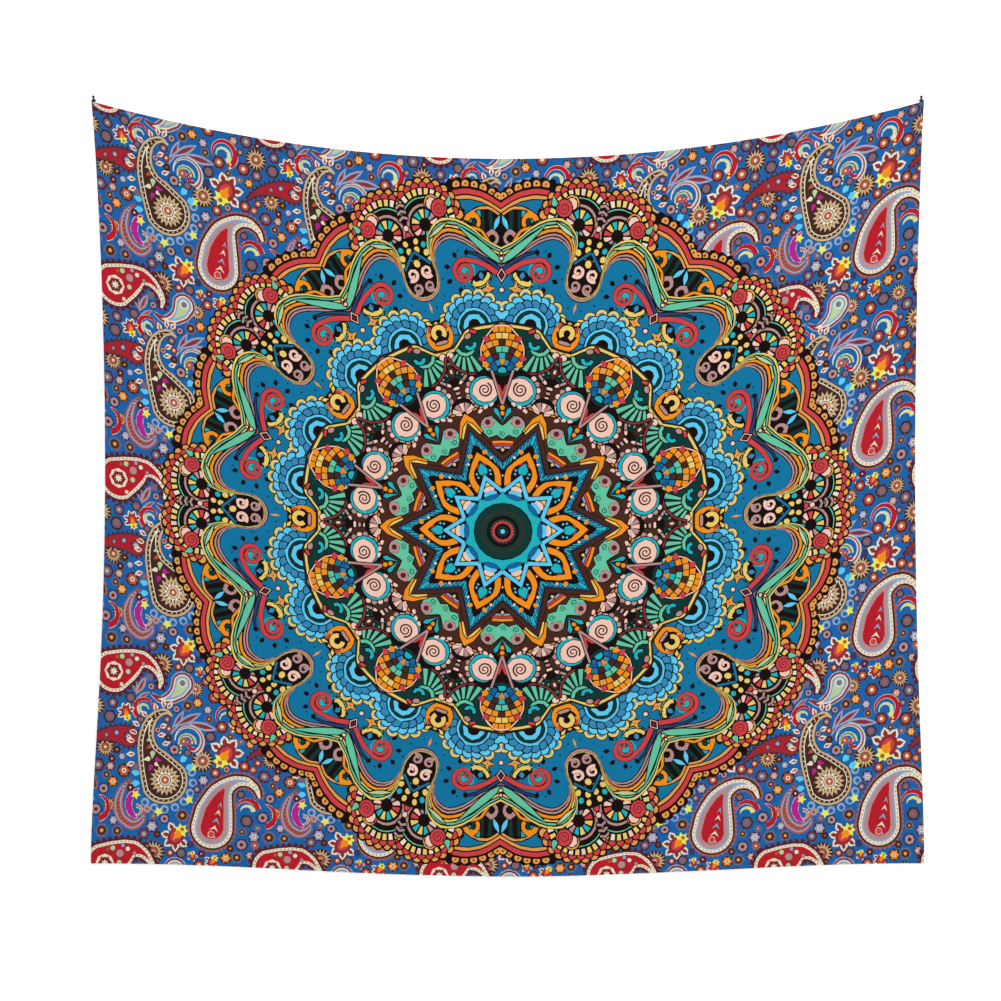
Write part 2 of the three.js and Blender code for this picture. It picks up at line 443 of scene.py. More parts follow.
# %% The scale flowers and the rosettes between them
FLOWER = 374 + 68j
FLOWER_ROWS = (
    (56, 10.5, "gold", 1.6, -84, 22),
    (54.5, 7, "azure", 0, -84, 22),
    (46, 10.5, "sky", LINE, -74, 20),
    (37, 9, "azure", LINE, -84, 22),
)
for radius, size, ink, line, first, step in FLOWER_ROWS:
    for angle in np.arange(first, 122, step):
        mandala.shape(paired(disc(FLOWER + radius * turn(angle), size, 10)), ink, line)
mandala.shape(paired(disc(FLOWER, 32)), "sky")
for radius, ink in ((28, "line"), (26.5, "pine"), (22, "line"), (20.5, "sky")):
    mandala.shape(paired(disc(FLOWER, radius)), ink, 0)
mandala.shape(paired(disc(FLOWER + 1, 12)), "line", 0)
mandala.shape(turned(oval(374, 56, 50, 0, 20)), "orange")
mandala.shape(turned(oval(381, 42, 40, 0, 18)), "line", 0)
mandala.shape(paired(oval(384 + 15j, 14, 9, -30, 9)), "amber", 0)
mandala.shape(paired(drop(390 + 13j, 4, 383 + 20j, 8)), "red", 0)
mandala.shape(paired(leaf(396 + 7j, 404 + 18j, 7, 0.6, 5)), "gold")
mandala.shape(turned(leaf(395, 401, 9, 0.5, 4)), "amber")
horseshoe = arc(380, 10.5, -140, 140, 12)
mandala.shape(turned(ribbon(horseshoe, 8)), "gold")
mandala.shape(turned(oval(362, 7, 24, 0, 10)), "mauve")

# %% The gold line round the inner field
gold_swing = smooth([346 + 19j, 360 + 36j, 371 + 52j, 370 + 75j, 366 + 100j, 383 * AXIS_B], 4)
GOLD_LINE = np.append(345, gold_swing)
for by, ink in ((5, "line"), (2.6, "cocoa"), (1.2, "line"), (0, "gold"), (-4.6, "line"), (-6, "pine")):
    mandala.shape([whole_ring(swollen(GOLD_LINE, by))], ink, 0)

# %% The striped fans
FAN = 346 + 38j
mandala.shape(paired(disc(336 + 7j, 6.5, 10)), "blush")
mandala.shape(paired(oval(338 + 24j, 12, 9, 60, 10)), "amber")
for angle in (163, 181, 199, 217, 235):
    mandala.shape(paired(ribbon(FAN + np.array([16, 53]) * turn(angle), [3, 9])), "jade")
mandala.shape(paired(ribbon(smooth([291 + 64j, 291 + 46j, 299 + 26j, 314 + 10j, 334 + 2j], 4), 3.4)), "brick")
mandala.shape(paired(ribbon(arc(FAN + 2j, 17, 120, 260, 8), 6)), "jade")
mandala.shape(paired(ribbon(arc(FAN + 12j, 9, 90, 260, 8), 6)), "turquoise")
mandala.shape(paired(oval(360 + 50j, 13, 9, 70, 9)), "mauve")
mandala.shape(paired(oval(365 + 62j, 13, 7, 120, 9)), "red")

# %% [markdown]
# ## The mosaic shields
# Across each axis B stands a shield of small tiles on a black ground. Rows of tiles lie on arcs
# about the shield's foot, the farthest row first, and each row's inks run outwards from the axis.

# %% The mosaic shields
FOOT = 288
HALF_SHIELD = smooth([280, 298 + 28j, 326 + 41j, 352 + 35j, 376 + 16j, 380], 4)
SHIELD = np.concatenate([HALF_SHIELD, np.conj(HALF_SHIELD)[-2:0:-1]])
mandala.shape(turned(SHIELD * AXIS_B), "blush")
mandala.shape(turned((SHIELD * 0.94 + 332 * 0.06) * AXIS_B), "line", 0)
TILE_ROWS = (
    (84, 0, ("orange", "orange")),
    (72, 6, ("gold", "orange", "red")),
    (60, 0, ("cocoa", "orange", "amber", "orange")),
    (48, 6, ("jade", "cocoa", "orange", "red")),
    (36, 0, ("turquoise", "cocoa", "teal", "orange")),
    (24, 6, ("azure", "royal", "jade")),
)
for radius, start, inks in TILE_ROWS:
    for k, ink in enumerate(inks):
        angle = np.degrees((start + 12 * k) / radius)
        ends = np.array([radius - 5, radius + 5])
        tile = (FOOT + ribbon(ends * turn(angle), 10.4 * ends / radius)) * AXIS_B
        mandala.shape(paired(tile) if angle else turned(tile), ink, 0)
mandala.shape(turned(disc((FOOT + 4) * AXIS_B, 14)), "sky")
mandala.shape(turned(disc((FOOT + 8) * AXIS_B, 12.5)), "line", 0)
mandala.shape(turned(disc((FOOT + 8) * AXIS_B, 8)), "turquoise", 0)
mandala.shape(paired(disc((FOOT + 14 + 14j) * AXIS_B, 5.5, 9)), "royal", 1)
mandala.shape(turned(np.array([306, 318 - 6j, 318 + 6j]) * AXIS_B), "orange", 1)

# %% [markdown]
# ## The ring of spirals
# Pairs of blush discs with a wound spiral stand on a brown ring, one on each side of axis B.

# %% The ring of spirals
SWIRL = 258 + 50j
half_ring = smooth([303, 296 + 14j, 288 + 30j, 291 + 60j, 292 * AXIS_B], 4)
for by, ink in ((1.6, "line"), (0, "pine"), (-5, "line")):
    mandala.shape([whole_ring(swollen(half_ring, by))], ink, 0)
mandala.shape([whole_ring([278, 284 + 15j, 279 + 40j, 282 + 70j, 285 * AXIS_B])], "cocoa")
mandala.shape(turned(np.array([290, 303 + 9j, 316, 303 - 9j]) + 4), "cocoa")
mandala.shape(turned(oval(308, 8, 6, 0, 8)), "blush", 0)
mandala.shape(paired(oval(287 + 14j, 15, 6.5, 58, 8)), "blush")
for x, length, ink in ((277, 12, "blush"), (268, 9, "mauve"), (259, 8, "blush"), (251, 8, "blush")):
    mandala.shape(turned(oval(x, length, 6.5, 90, 8)), ink)
mandala.shape(paired(oval(292 + 21j, 13, 6, 52, 8)), "mauve")
mandala.shape(paired(disc(SWIRL, 35)), "line", 0)
for k, angle in enumerate(np.arange(-172, -28, 20)):
    mandala.shape(paired(disc(SWIRL + 32.5 * turn(angle), 5, 8)), ("mauve", "blush")[k % 2], 1)
mandala.shape(paired(disc(SWIRL - 2j, 27)), "turquoise", 2)
mandala.shape(paired(oval(SWIRL + 1 + 1j, 48, 43, 100, 24)), "blush", 1.6)
coil = spiral(SWIRL + 2, 13.5, 1.5, 2.1, 40)
mandala.shape(paired(ribbon(coil, np.linspace(3.4, 2, len(coil)))), "cocoa", 0)
mandala.shape(turned(np.array([236, 287 + 15j, 287 - 15j]) * AXIS_B), "line", 0)
mandala.shape(paired(ribbon(np.array([236, 262 + 8j, 298 + 20j]) * AXIS_B, 4)), "mauve")
mandala.shape(turned(np.array([248, 274 + 9j, 270 + 4j, 258, 270 - 4j, 274 - 9j]) * AXIS_B), "red", 0.8)

# %% The fans on axis A and the orange beads
mandala.shape(turned(oval(238, 42, 46, 0, 18)), "line", 0)
for angle, length, ink in ((0, 15, "blush"), (32, 16, "mauve"), (64, 17, "blush"), (88, 14, "blush")):
    wedge = ribbon(229 + np.array([5, 5 + length]) * turn(angle), [4, 9])
    mandala.shape(paired(wedge) if angle else turned(wedge), ink, 0.8)
mandala.shape(paired(leaf(229 + 16j, 233 + 26j, 5, 0.5, 4)), "orange")
mandala.shape([whole_ring([226, 231 + 18j, 230 + 45j, 231 * AXIS_B])], "line", 0)
mandala.shape([whole_ring([224, 229 + 18j, 228 + 45j, 229 * AXIS_B])], "cocoa", 0)
mandala.shape(turned(disc(221 * AXIS_B, 4.4, 9)), "orange")
mandala.shape(turned(disc(231 * AXIS_B, 4.4, 9)), "orange")
for x, y in ((226, 30), (230, 42), (231, 54)):
    mandala.shape(paired(oval(x + 1j * y, 10, 6, 65, 8)), "blush", 0.8)

# %% The jade masks across axis B
mandala.shape(paired(leaf(205 * AXIS_B, 224 + 57j, 9, 0.75)), "turquoise")
MASK = smooth([174, 182 + 11j, 178 + 24j, 192 + 40j, 211 + 36j, 215 + 20j, 202 + 6j, 198], 4)
mandala.shape(turned(np.concatenate([MASK, np.conj(MASK)[-2:0:-1]]) * AXIS_B), "jade")
EYE = 203 + 37j
mandala.shape(paired(oval(EYE, 23, 19, 100, 16)), "mauve", 1.4)
mandala.shape(paired(disc(EYE, 4.6, 12)), "plum", 1)
mandala.shape(paired(ribbon(spiral(186 + 34j, 6, 1, 1.5, 60), 1.5)), "pine", 0)
mandala.shape(turned(ribbon(spiral(184 * AXIS_B, 6, 1, 1.5, 60), 1.5)), "pine", 0)

# %% The chevrons on axis A
mandala.shape(turned(np.array([230, 216 + 13j, 190 + 23j, 186, 190 - 23j, 216 - 13j])), "orange", 1.6)
mandala.shape(turned(np.array([217, 208 + 11j, 188 + 21j, 184, 188 - 21j, 208 - 11j])), "line", 0)
mandala.shape(turned(np.array([215, 206 + 10j, 187 + 19j, 184, 187 - 19j, 206 - 10j])), "gold", 0)
CAP_BANDS = ((171, "orange"), (166.5, "line"), (165, "red"), (161.5, "line"), (160, "haze"), (156.5, "line"))
for radius, ink in CAP_BANDS:
    cap = np.concatenate([arc(0, radius, 11.5, 24.5, 4), [150 * turn(24), 150 * turn(12)]])
    mandala.shape(turned(cap), ink, 0.8 if ink == "orange" else 0)

# %% [markdown]
# ## The stars
# The heart of the print is a stack of ten-pointed stars, each a ring that runs straight from a
# tip on axis A to a notch on axis B.

# %% The blue hatched star
for tip, notch, ink in ((214, 146, "line"), (212, 144, "cocoa"), (199, 133, "line"), (196, 130, "royal")):
    mandala.shape([whole_ring([tip, notch * AXIS_B])], ink, 0)
mandala.shape(turned(leaf(150 * AXIS_B, 158 * AXIS_B, 7, 0.6, 4)), "gold")
edge_start, edge_end = 176 + 0j, 120 * AXIS_B
for k, share in enumerate(np.linspace(0.04, 0.96, 9)):
    place = edge_start + (edge_end - edge_start) * share
    stripe = np.array([place - 3, place + 15 - 5 * share])
    mandala.shape(paired(ribbon(stripe, 3.2)), ("turquoise", "azure")[k % 2], 1.3)
mandala.shape([whole_ring([170, 166 + 6j, 116 * AXIS_B])], "line", 0)
mandala.shape(paired(disc(152 + 14j, 4.6, 9)), "orange", 0)
mandala.shape(paired(oval(139 + 22.5j, 7, 5, 40, 8)), "blush", 0)
mandala.shape(turned(oval(105 * AXIS_B, 5, 7, 18, 8)), "blush", 0)

# %% The orange petals
PETAL = np.concatenate([smooth([84 + 24j, 100 + 29j, 118 + 28j, 138 + 16j], 3), [156]])
CORE = np.concatenate([smooth([92 + 15j, 106 + 19j, 120 + 18j, 131 + 10j], 3), [141]])
for half, ink, line in ((PETAL, "orange", LINE), (CORE, "line", 0)):
    mandala.shape(turned(np.concatenate([np.conj(half), half[-2::-1]])), ink, line)
mandala.shape(turned(drop(126, 6, 136, 8)), "teal", 0)
mandala.shape(turned(drop(120, 9, 134, 10)), "turquoise", 0)
mandala.shape(paired(oval(131 + 7j, 9, 3.4, -40, 7)), "red", 0)
for place in (110 + 12j, 117 + 13j):
    mandala.shape(paired(disc(place, 2.6, 7)), "sky", 0)

# %% The light blue star and the dark centre
mandala.shape([whole_ring([115, 82 * AXIS_B])], "line", 0)
mandala.shape([whole_ring([112.5, 80 * AXIS_B])], "sky", 0)
mandala.shape([whole_ring([101, 71 * AXIS_B])], "line", 0)
mandala.shape([whole_ring([98, 69 * AXIS_B])], "teal", 0)
mandala.shape([whole_ring([96, 88 + 7j, 75 + 15j, 68 + 20j, 67 * AXIS_B])], "line", 0)
mandala.shape(turned(np.array([97, 90 + 6j, 90 - 6j])), "gold", 0)
for centre, length, width, ink in ((82, 14, 21, "blush"), (73.5, 12, 26, "sky"), (64, 16, 41, "royal")):
    mandala.shape(turned(oval(centre, length, width, 0, 14)), ink, 1)
mandala.shape([whole_ring([62, 63 + 8j, 74 * AXIS_B])], "turquoise", 1)
for radius, ink in ((54.5, "line"), (52.5, "pine"), (39.5, "cocoa"), (36.5, "pine")):
    mandala.shape([disc(0, radius, 60)], ink, 0)
for radius, ink in ((30, "line"), (24, "pine"), (18, "red")):
    mandala.shape([disc(0, radius, 40)], ink, 0)
mandala.shape(turned(disc(19, 2.4, 7)), "red", 0)
mandala.shape(turned(disc(19 * AXIS_B, 2.4, 7)), "red", 0)
for radius, ink in ((15.5, "line"), (10, "pine"), (7, "line"), (4.4, "sky")):
    mandala.shape([disc(0, radius, 24)], ink, 0)
print("mandala shapes:", len(mandala.shapes))

# %% [markdown]
# ## The ground
# Around the round figure lies a blue ground that repeats every 301 by 331 mm: curled teardrops,
# flowers and dots. A teardrop is a circle that shrinks as it moves along a curved spine, so its
# inner bands are the same shape with a little taken off every radius, and they never cross.
# Measures run right and down from the repeat's upper left corner.

# %% Shapes of the ground
TILE_WIDTH, TILE_LENGTH = 301, 331
ground_tile = Drawing()


def teardrop(spine, radii, inset=0.0, steps=4):
    """The hull of circles along a spine: two side lines one radius off it, and a round end."""
    path = smooth(spine, steps)
    radius = np.interp(np.arange(len(path)) / steps, np.arange(len(radii)), radii) - inset
    path, radius = path[radius > 0.4], radius[radius > 0.4]
    tangent = np.gradient(path)
    side = 1j * tangent / abs(tangent) * radius
    foot = side[0] * turn(np.arange(15, 180, 15 if radius[0] > 20 else 30))
    return np.concatenate([path[0] + foot, path - side, (path + side)[::-1]])


def along(outline, spacing, start=0.0):
    """Places evenly spaced along a closed outline."""
    closed = np.append(outline, outline[0])
    walked = np.append(0, abs(np.diff(closed)).cumsum())
    at = np.arange(start, walked[-1] - spacing / 2, spacing)
    return np.interp(at, walked, closed.real) + 1j * np.interp(at, walked, closed.imag)


def star(centre, outer, inner, count, tilt=0.0):
    """A star polygon."""
    radius = np.tile([outer, inner], count)
    return centre + radius * turn(np.arange(2 * count) * 180 / count + tilt)


def put(outline, ink, line=0.0, line_ink="line"):
    ground_tile.shape([outline], ink, line, line_ink)


def daisy(centre, radius, heart="rust", rays=16):
    """A rayed flower: a dark disc, a many-pointed star and rings."""
    put(disc(centre, radius * 0.98, 11), "cocoa")
    put(star(centre, radius * 0.96, radius * 0.5, rays, 4), "sand")
    for share, ink in ((0.45, "cocoa"), (0.38, heart), (0.16, "cream")):
        put(disc(centre, radius * share, 8 if share > 0.2 else 5), ink)


def rosette(centre, radius, ink="orange", edge="cocoa"):
    """A small round flower with a scalloped edge."""
    put(disc(centre, radius, 8), edge)
    put(star(centre, radius * 0.82, radius * 0.6, 6), ink)
    put(disc(centre, radius * 0.36, 6), "cream")
    put(disc(centre, radius * 0.18, 5), "scarlet")


def lotus(centre, size, petals, lemon):
    """A flower seen from the side: white-edged petals round an egg with a lemon corner."""
    for angle in petals:
        way = turn(angle)
        tip = centre + size * 1.75 * way
        put(leaf(centre + size * 0.6 * way, tip, size * 0.95, 0.45, 5), "cream")
        put(leaf(centre + size * 0.8 * way, tip - size * 0.2 * way, size * 0.5, 0.4, 4), "brick")
    way = turn(lemon)
    corner = centre + size * 0.85 * way
    put(oval(centre, size * 2.3, size * 1.8, lemon - 180, 11), "brick")
    put(oval(centre + size * 0.1 * way, size * 1.7, size * 1.2, lemon, 10), "red")
    put(star(corner, size * 0.85, size * 0.5, 7, lemon), "lemon")
    put(drop(centre + size * 0.35 * way, size * 0.38, centre - size * 0.55 * way, 7), "orange")
    put(disc(corner + size * 0.2 * way, size * 0.24, 6), "rust")


def crescent(centre, radius, start, end, width, ink, bands=()):
    """A horn: a ribbon on an arc that narrows to its end, with thinner bands on it."""
    path = arc(centre, radius, start, end, 14)
    put(ribbon(path, taper(15, width + 2, 0.2, 0.8)), "cream" if ink != "cream" else "haze")
    put(ribbon(path, taper(15, width, 0.15, 0.8)), ink)
    for share, band in bands:
        put(ribbon(path[:-2], taper(15, width * share, 0.15, 0.8)[:-2]), band)


# %% Small things of the ground
for x, y, radius in (
    (294, 38, 20), (17, 107, 17), (194, 118, 21), (175, 322, 15),
    (112, 285, 21), (262, 318, 16), (30, 205, 12),
):
    daisy(x - 1j * y, radius, rays=16 if radius > 14 else 12)
for x, y, radius, ink in (
    (180, 15, 10, "orange"), (199, 26, 9, "haze"), (53, 145, 13, "rust"), (34, 165, 10, "orange"),
    (108, 240, 12, "haze"), (197, 153, 11, "haze"), (279, 81, 9, "orange"), (286, 127, 8, "rust"),
    (48, 121, 7, "haze"), (28, 139, 9, "mauve"), (38, 232, 9, "haze"), (255, 12, 9, "mauve"),
    (242, 292, 11, "orange"), (292, 250, 12, "haze"), (222, 306, 9, "rust"), (285, 285, 9, "mauve"),
):
    rosette(x - 1j * y, radius, ink, "plum" if ink == "haze" else "cocoa")
for base, tip, width in ((68 - 342j, 84 - 311j, 11), (66 - 338j, 64 - 318j, 7), (70 - 350j, 92 - 336j, 7)):
    put(leaf(base, tip, width), "mauve", 1, "haze")
    put(leaf(base + (tip - base) * 0.15, tip - (tip - base) * 0.1, width * 0.45), "brick")

# %% The horns and the leaves
crescent(236 - 37j, 21, -75, 200, 11, "scarlet")
crescent(234 - 40j, 12, -60, 190, 7, "celadon", ((0.4, "cream"),))
for place in 246 - 60j + 6 * np.array([0, 0.15 + 1j, 0.1 + 2j, -0.3 + 3j]):
    put(disc(place, 2.2, 5), "lemon")
crescent(83 - 35j, 17, 235, 0, 9, "scarlet")
crescent(83 - 36j, 8.5, 225, 0, 6, "celadon")
crescent(278 - 203j, 20, 10, 170, 10, "scarlet")
crescent(278 - 206j, 12, 10, 170, 6, "celadon", ((0.5, "lemon"),))
crescent(8 - 210j, 20, -80, 85, 11, "scarlet")
for base, tip, width in ((134 - 76j, 155 - 32j, 11), (138 - 62j, 187 - 33j, 13), (160 - 52j, 217 - 60j, 14)):
    put(leaf(base, tip, width, 0.55), "haze", 0.8, "mauve")
    put(leaf(base + (tip - base) * 0.15, tip - (tip - base) * 0.08, width * 0.55, 0.55), "brick")
crescent(167 - 84j, 25, -60, 185, 9, "cream", ((0.55, "mauve"), (0.2, "brick")))
crescent(163 - 88j, 14, -5, 200, 8, "celadon", ((0.3, "pine"),))
crescent(175 - 91j, 8, 300, 75, 6, "scarlet")
for place in 152 - 106j + 6 * np.array([0, 0.1 + 1j, 0.2 + 2j, 0.5 + 3j]):
    put(disc(place, 2.4, 5), "lemon")
lotus(236 - 102j, 19, (-48, 8, 58, 100, 150), 238)
lotus(152 - 256j, 16, (118, 172, 222, 268, 318), 50)
lotus(51 - 44j, 10, (75, 115, 165, 215, 30), 285)
lotus(182 - 291j, 6, (0, 72, 144, 216, 288), 90)
lotus(218 - 300j, 9, (150, 200, 250), 60)

# %% The curled teardrops
HORN = [58 - 86j, 40 - 83j, 14 - 86j, -9 - 95j, -27 - 110j]
for place in along(teardrop(HORN, [21, 18, 13, 8, 3]), 9):
    put(disc(place, 2.6, 5), "cocoa")
for inset, ink in ((-1.5, "plum"), (0.6, "brick"), (5, "scarlet")):
    put(teardrop(HORN, [18, 15, 10, 5, 1.5], inset), ink)
for x, y, radius in ((58, 86, 10), (36, 81, 7), (18, 86, 5)):
    rosette(x - 1j * y, radius, "slate", "plum")
HOOK = [68 - 158j, 52 - 176j, 45 - 202j, 52 - 226j, 72 - 239j, 89 - 230j, 93 - 216j]
for inset, ink in ((0, "rust"), (2.6, "haze"), (5, "rust")):
    put(teardrop(HOOK[::-1], [2, 7, 9, 9.5, 9, 6, 2], inset), ink)
for place in along(teardrop(HOOK[::-1], [1, 1, 1, 1, 1, 1, 1]), 7):
    put(disc(place, 1.5, 4), "indigo")
SEED = [80 - 176j, 69 - 187j, 64 - 203j, 70 - 219j, 80 - 226j]
put(teardrop(SEED, [1.5, 5.5, 6, 5, 1.5]), "magenta", 0.8, "cream")
crescent(80 - 213j, 8, 100, -120, 6, "orange", ((0.4, "azure"),))

RED_DROP = [25 - 307j, 50 - 293j, 72 - 282j, 91 - 286j, 104 - 298j, 112 - 314j, 109 - 328j]
RED_SIZES = [36, 28, 17, 10, 6.5, 4.5, 2]
for place in along(teardrop(RED_DROP, RED_SIZES, -5), 11):
    put(disc(place, 4.6, 5), "plum")
for inset, ink in ((-3.6, "plum"), (0, "cream"), (5.6, "scarlet")):
    put(teardrop(RED_DROP, RED_SIZES, inset), ink)
for place in along(teardrop(RED_DROP, RED_SIZES, 2.7), 7):
    put(disc(place, 1.3, 4), "cocoa")
rosette(25 - 307j, 17, "scarlet", "cream")
put(star(25 - 307j, 12, 8, 8), "plum")
put(star(25 - 307j, 8, 4, 8), "cream")
for x, y, radius, ink in (
    (52, 289, 7, "mauve"), (39, 280, 4.5, "celadon"), (51, 305, 4.5, "celadon"), (66, 281, 4, "cream"),
    (78, 288, 3.2, "mauve"), (30, 282, 3, "rust"), (57, 275, 3, "haze"), (40, 328, 3, "cream"),
):
    put(disc(x - 1j * y, radius, 8), ink, 0.7, "plum")

PALE_DROP = [151 - 315j, 144 - 330j, 130 - 342j, 112 - 347j, 95 - 339j]
for inset, ink in ((-2.2, "haze"), (0, "brick"), (3.6, "cream"), (6, "haze"), (9.5, "celadon")):
    put(teardrop(PALE_DROP, [20, 16, 10, 5, 1.2], inset), ink)
for radius, ink in ((8, "cream"), (5.6, "azure"), (3.2, "rust")):
    put(disc(151 - 314j, radius, 10), ink)

ROSE_DROP = [216 - 238j, 220 - 207j, 229 - 177j, 243 - 158j, 262 - 149j, 280 - 151j, 294 - 162j, 300 - 178j]
ROSE_SIZES = [37, 33, 23, 13, 9, 7, 4.5, 2]
for place in along(teardrop(ROSE_DROP, ROSE_SIZES, -4.5), 8.5):
    put(disc(place, 3.6, 6), "rust")
for inset, ink in ((-3.6, "cocoa"), (0, "cream"), (6, "haze"), (9.4, "mauve"), (16.4, "scarlet")):
    put(teardrop(ROSE_DROP, ROSE_SIZES, inset), ink)
for place in along(teardrop(ROSE_DROP, ROSE_SIZES, 3), 7.5):
    put(disc(place, 1.5, 4), "rust")
for k, y in enumerate((252, 238, 224, 209, 195)):
    chevron = np.array([-10 + 1.5 * k - 6j, 5j, 10 - 1.5 * k - 6j, -1j]) * turn(-12)
    put(chevron + (217 + 3.2 * k - 1j * y), ("haze", "cream")[k % 2], 0.7, "plum")
put(disc(215 - 250j, 5.5, 8), "red", 1, "cream")

# %% The great teardrop
GREAT = [126 - 157j, 110 - 133j, 95 - 108j, 90 - 84j, 94 - 60j, 107 - 43j, 124 - 36j, 135 - 43j]
GREAT_SIZES = [43, 33, 20, 14, 10.5, 7.5, 4.5, 2]
for angle in range(-128, 40, 21):
    put(disc(126 - 157j + 52 * turn(angle), 7.8, 8), "haze")
    put(disc(126 - 157j + 53 * turn(angle), 4.4, 6), "ground")
for angle in (-150, -97, -35, 27):
    tulip = 126 - 157j + 57 * turn(angle)
    put(star(tulip, 9, 4.5, 5, angle), "lemon")
for x, y, angle in (
    (70, 62, 150), (66, 77, 170), (62, 92, 175), (63, 116, 185), (64, 133, 200), (120, 62, 20),
    (118, 78, 10), (127, 92, 20), (104, 30, 110), (118, 22, 95), (130, 24, 60), (84, 44, 140),
):
    place = x - 1j * y
    put(leaf(place - 8 * turn(angle), place + 8 * turn(angle), 10, 0.45, 4), "cream")
    put(leaf(place - 6 * turn(angle), place + 5 * turn(angle), 5, 0.45, 3), "scarlet")
for angle in (170, 190, 30, 50):
    place = 126 - 157j + 52 * turn(angle)
    put(leaf(place - 8 * turn(angle), place + 9 * turn(angle), 12, 0.45, 4), "sky")
for inset, ink in ((-1, "line"), (0, "sand"), (3.8, "cocoa"), (8.2, "cream"), (10, "cocoa")):
    put(teardrop(GREAT, GREAT_SIZES, inset), ink)
for place in along(teardrop(GREAT, GREAT_SIZES, 6.2), 9):
    put(disc(place, 1.5, 4), "cream")
for x, y, radius, ink in (
    (96, 88, 3.4, "celadon"), (97, 100, 4, "rust"), (103, 112, 5, "celadon"), (95, 122, 4.5, "cream"),
    (112, 122, 4.5, "magenta"), (101, 136, 4.5, "magenta"), (110, 130, 3.5, "cream"),
):
    put(drop(x - 1j * y, radius, x - 1j * y + radius * 2 * turn(60 + 9 * x), 6), ink)
put(star(128 - 157j, 28, 20, 18), "sand")
put(star(128 - 157j, 21, 12, 18), "cocoa")
put(star(128 - 157j, 17, 12, 12), "cream")
for radius, ink in ((11, "plum"), (9.5, "cream"), (7.5, "rust"), (3, "cream")):
    put(disc(128 - 157j, radius, 10), ink)

# %% [markdown]
# ## Flowers sown in the gaps
# The widest gap left in the repeat gets a flower that nearly fills it, then the next widest, and
# so on. Each new flower lowers the clearance of the points near it: the clearance of a point is
# its distance to the nearest covered point, measured across the repeat's edges too.

# %% Flowers sown in the gaps
SPOT_STEP = 4
LARGE, SMALL = 44, 18
LARGEST_RADIUS, BARE_EDGE = 13.0, 0.5
FLOWER_INKS = (
    ("cocoa", "slate", "rust"),
    ("plum", "rust", "cream"),
    ("indigo", "mauve", "plum"),
    ("slate", "cocoa", "amber"),
    ("plum", "slate", "sand"),
)
across, down = np.meshgrid(np.arange(2.0, TILE_WIDTH, SPOT_STEP), np.arange(2.0, TILE_LENGTH, SPOT_STEP))
spots = (across - 1j * down).ravel()


def covers(outline, points):
    """Which points lie inside an outline: a line to the left of them crosses it an odd number of times."""
    ends = np.roll(outline, -1)
    height = points.imag[:, None]
    crosses = (outline.imag > height) != (ends.imag > height)
    slope = (ends - outline).real / np.where(ends.imag == outline.imag, 1, (ends - outline).imag)
    left = outline.real + slope * (height - outline.imag) < points.real[:, None]
    return (crosses & left).sum(axis=1) % 2 == 1


wraps = np.array([x * TILE_WIDTH + 1j * y * TILE_LENGTH for x in (-1, 0, 1) for y in (-1, 0, 1)])
taken = np.zeros(len(spots), bool)
for outline, ink in ground_tile.shapes:
    for wrap in wraps:
        moved = outline + wrap
        near = (spots.real > moved.real.min()) & (spots.real < moved.real.max())
        near &= (spots.imag > moved.imag.min()) & (spots.imag < moved.imag.max())
        taken[near] |= covers(moved, spots[near])
full = (spots[taken] + wraps[:, None]).ravel()
clearance = np.zeros(len(spots))
clearance[~taken] = [abs(full - spot).min() for spot in spots[~taken]]
for k in range(LARGE + SMALL):
    widest = np.argmax(clearance)
    centre, radius = spots[widest], min(clearance[widest] - BARE_EDGE, LARGEST_RADIUS)
    edge, ink, heart = FLOWER_INKS[k % len(FLOWER_INKS)]
    if k < LARGE:
        put(star(centre, radius, radius * 0.8, 6), edge)
        put(disc(centre, radius * 0.66, 7), ink)
    else:
        put(disc(centre, radius, 6), edge if k % 2 else ink)
    put(disc(centre, radius * 0.3, 5 if k < LARGE else 4), heart)
    for wrap in wraps:
        clearance = np.minimum(clearance, np.maximum(abs(spots - centre - wrap) - radius, 0))
print("flowers sown:", LARGE + SMALL, "the last one", round(radius, 1), "mm in radius")
print("ground shapes:", len(ground_tile.shapes), "points:", sum(len(o) for o, _ in ground_tile.shapes))

# %% [markdown]
# ## From drawing to mesh
# The shapes overlap, and a mesh may not. A constrained Delaunay triangulation cuts all outlines
# where they cross and says, for each triangle, which shapes lie over it: the topmost one gives
# its ink. That is done for one sector of the round figure and for one repeat of the ground.
# Only the edges that part two inks are kept, nearly straight runs lose their middle points, and
# turned or shifted copies of these edges cover the cloth. One more triangulation makes the mesh.

# %% Cutting the outlines where they cross
WIDTH, LENGTH = 1500.0, 1300.0
HALF_WIDTH, HALF_LENGTH = WIDTH / 2, LENGTH / 2
CENTRE = -14 - 5j
SECTOR_TOLERANCE, TILE_TOLERANCE = 1.0, 0.9
TILE_COLUMNS, TILE_ROWS_DOWN = 5, 4
INK_NAMES = list(INKS)


def as_vectors(points):
    """Complex numbers as the two-part vectors that mathutils works on."""
    return list(map(Vector, np.stack([points.real, points.imag], 1).tolist()))


def cut_shapes(shapes):
    """The points, the triangles and each triangle's ink number, for overlapping closed shapes."""
    sizes = np.array([len(outline) for outline, _ in shapes])
    starts = sizes.cumsum() - sizes
    faces = [list(range(start, start + size)) for start, size in zip(starts, sizes)]
    points = as_vectors(np.concatenate([outline for outline, _ in shapes]))
    result = delaunay_2d_cdt(points, [], faces, 1, 1e-3, True)
    counts = np.array([len(owners) for owners in result[5]])
    owned = counts > 0
    owners = np.fromiter(chain.from_iterable(result[5]), int)
    topmost = np.maximum.reduceat(owners, (counts.cumsum() - counts)[owned])
    ink = np.array([INK_NAMES.index(name) for _, name in shapes])[topmost]
    flat = np.array(result[0])
    return flat[:, 0] + 1j * flat[:, 1], np.array(result[2])[owned], ink


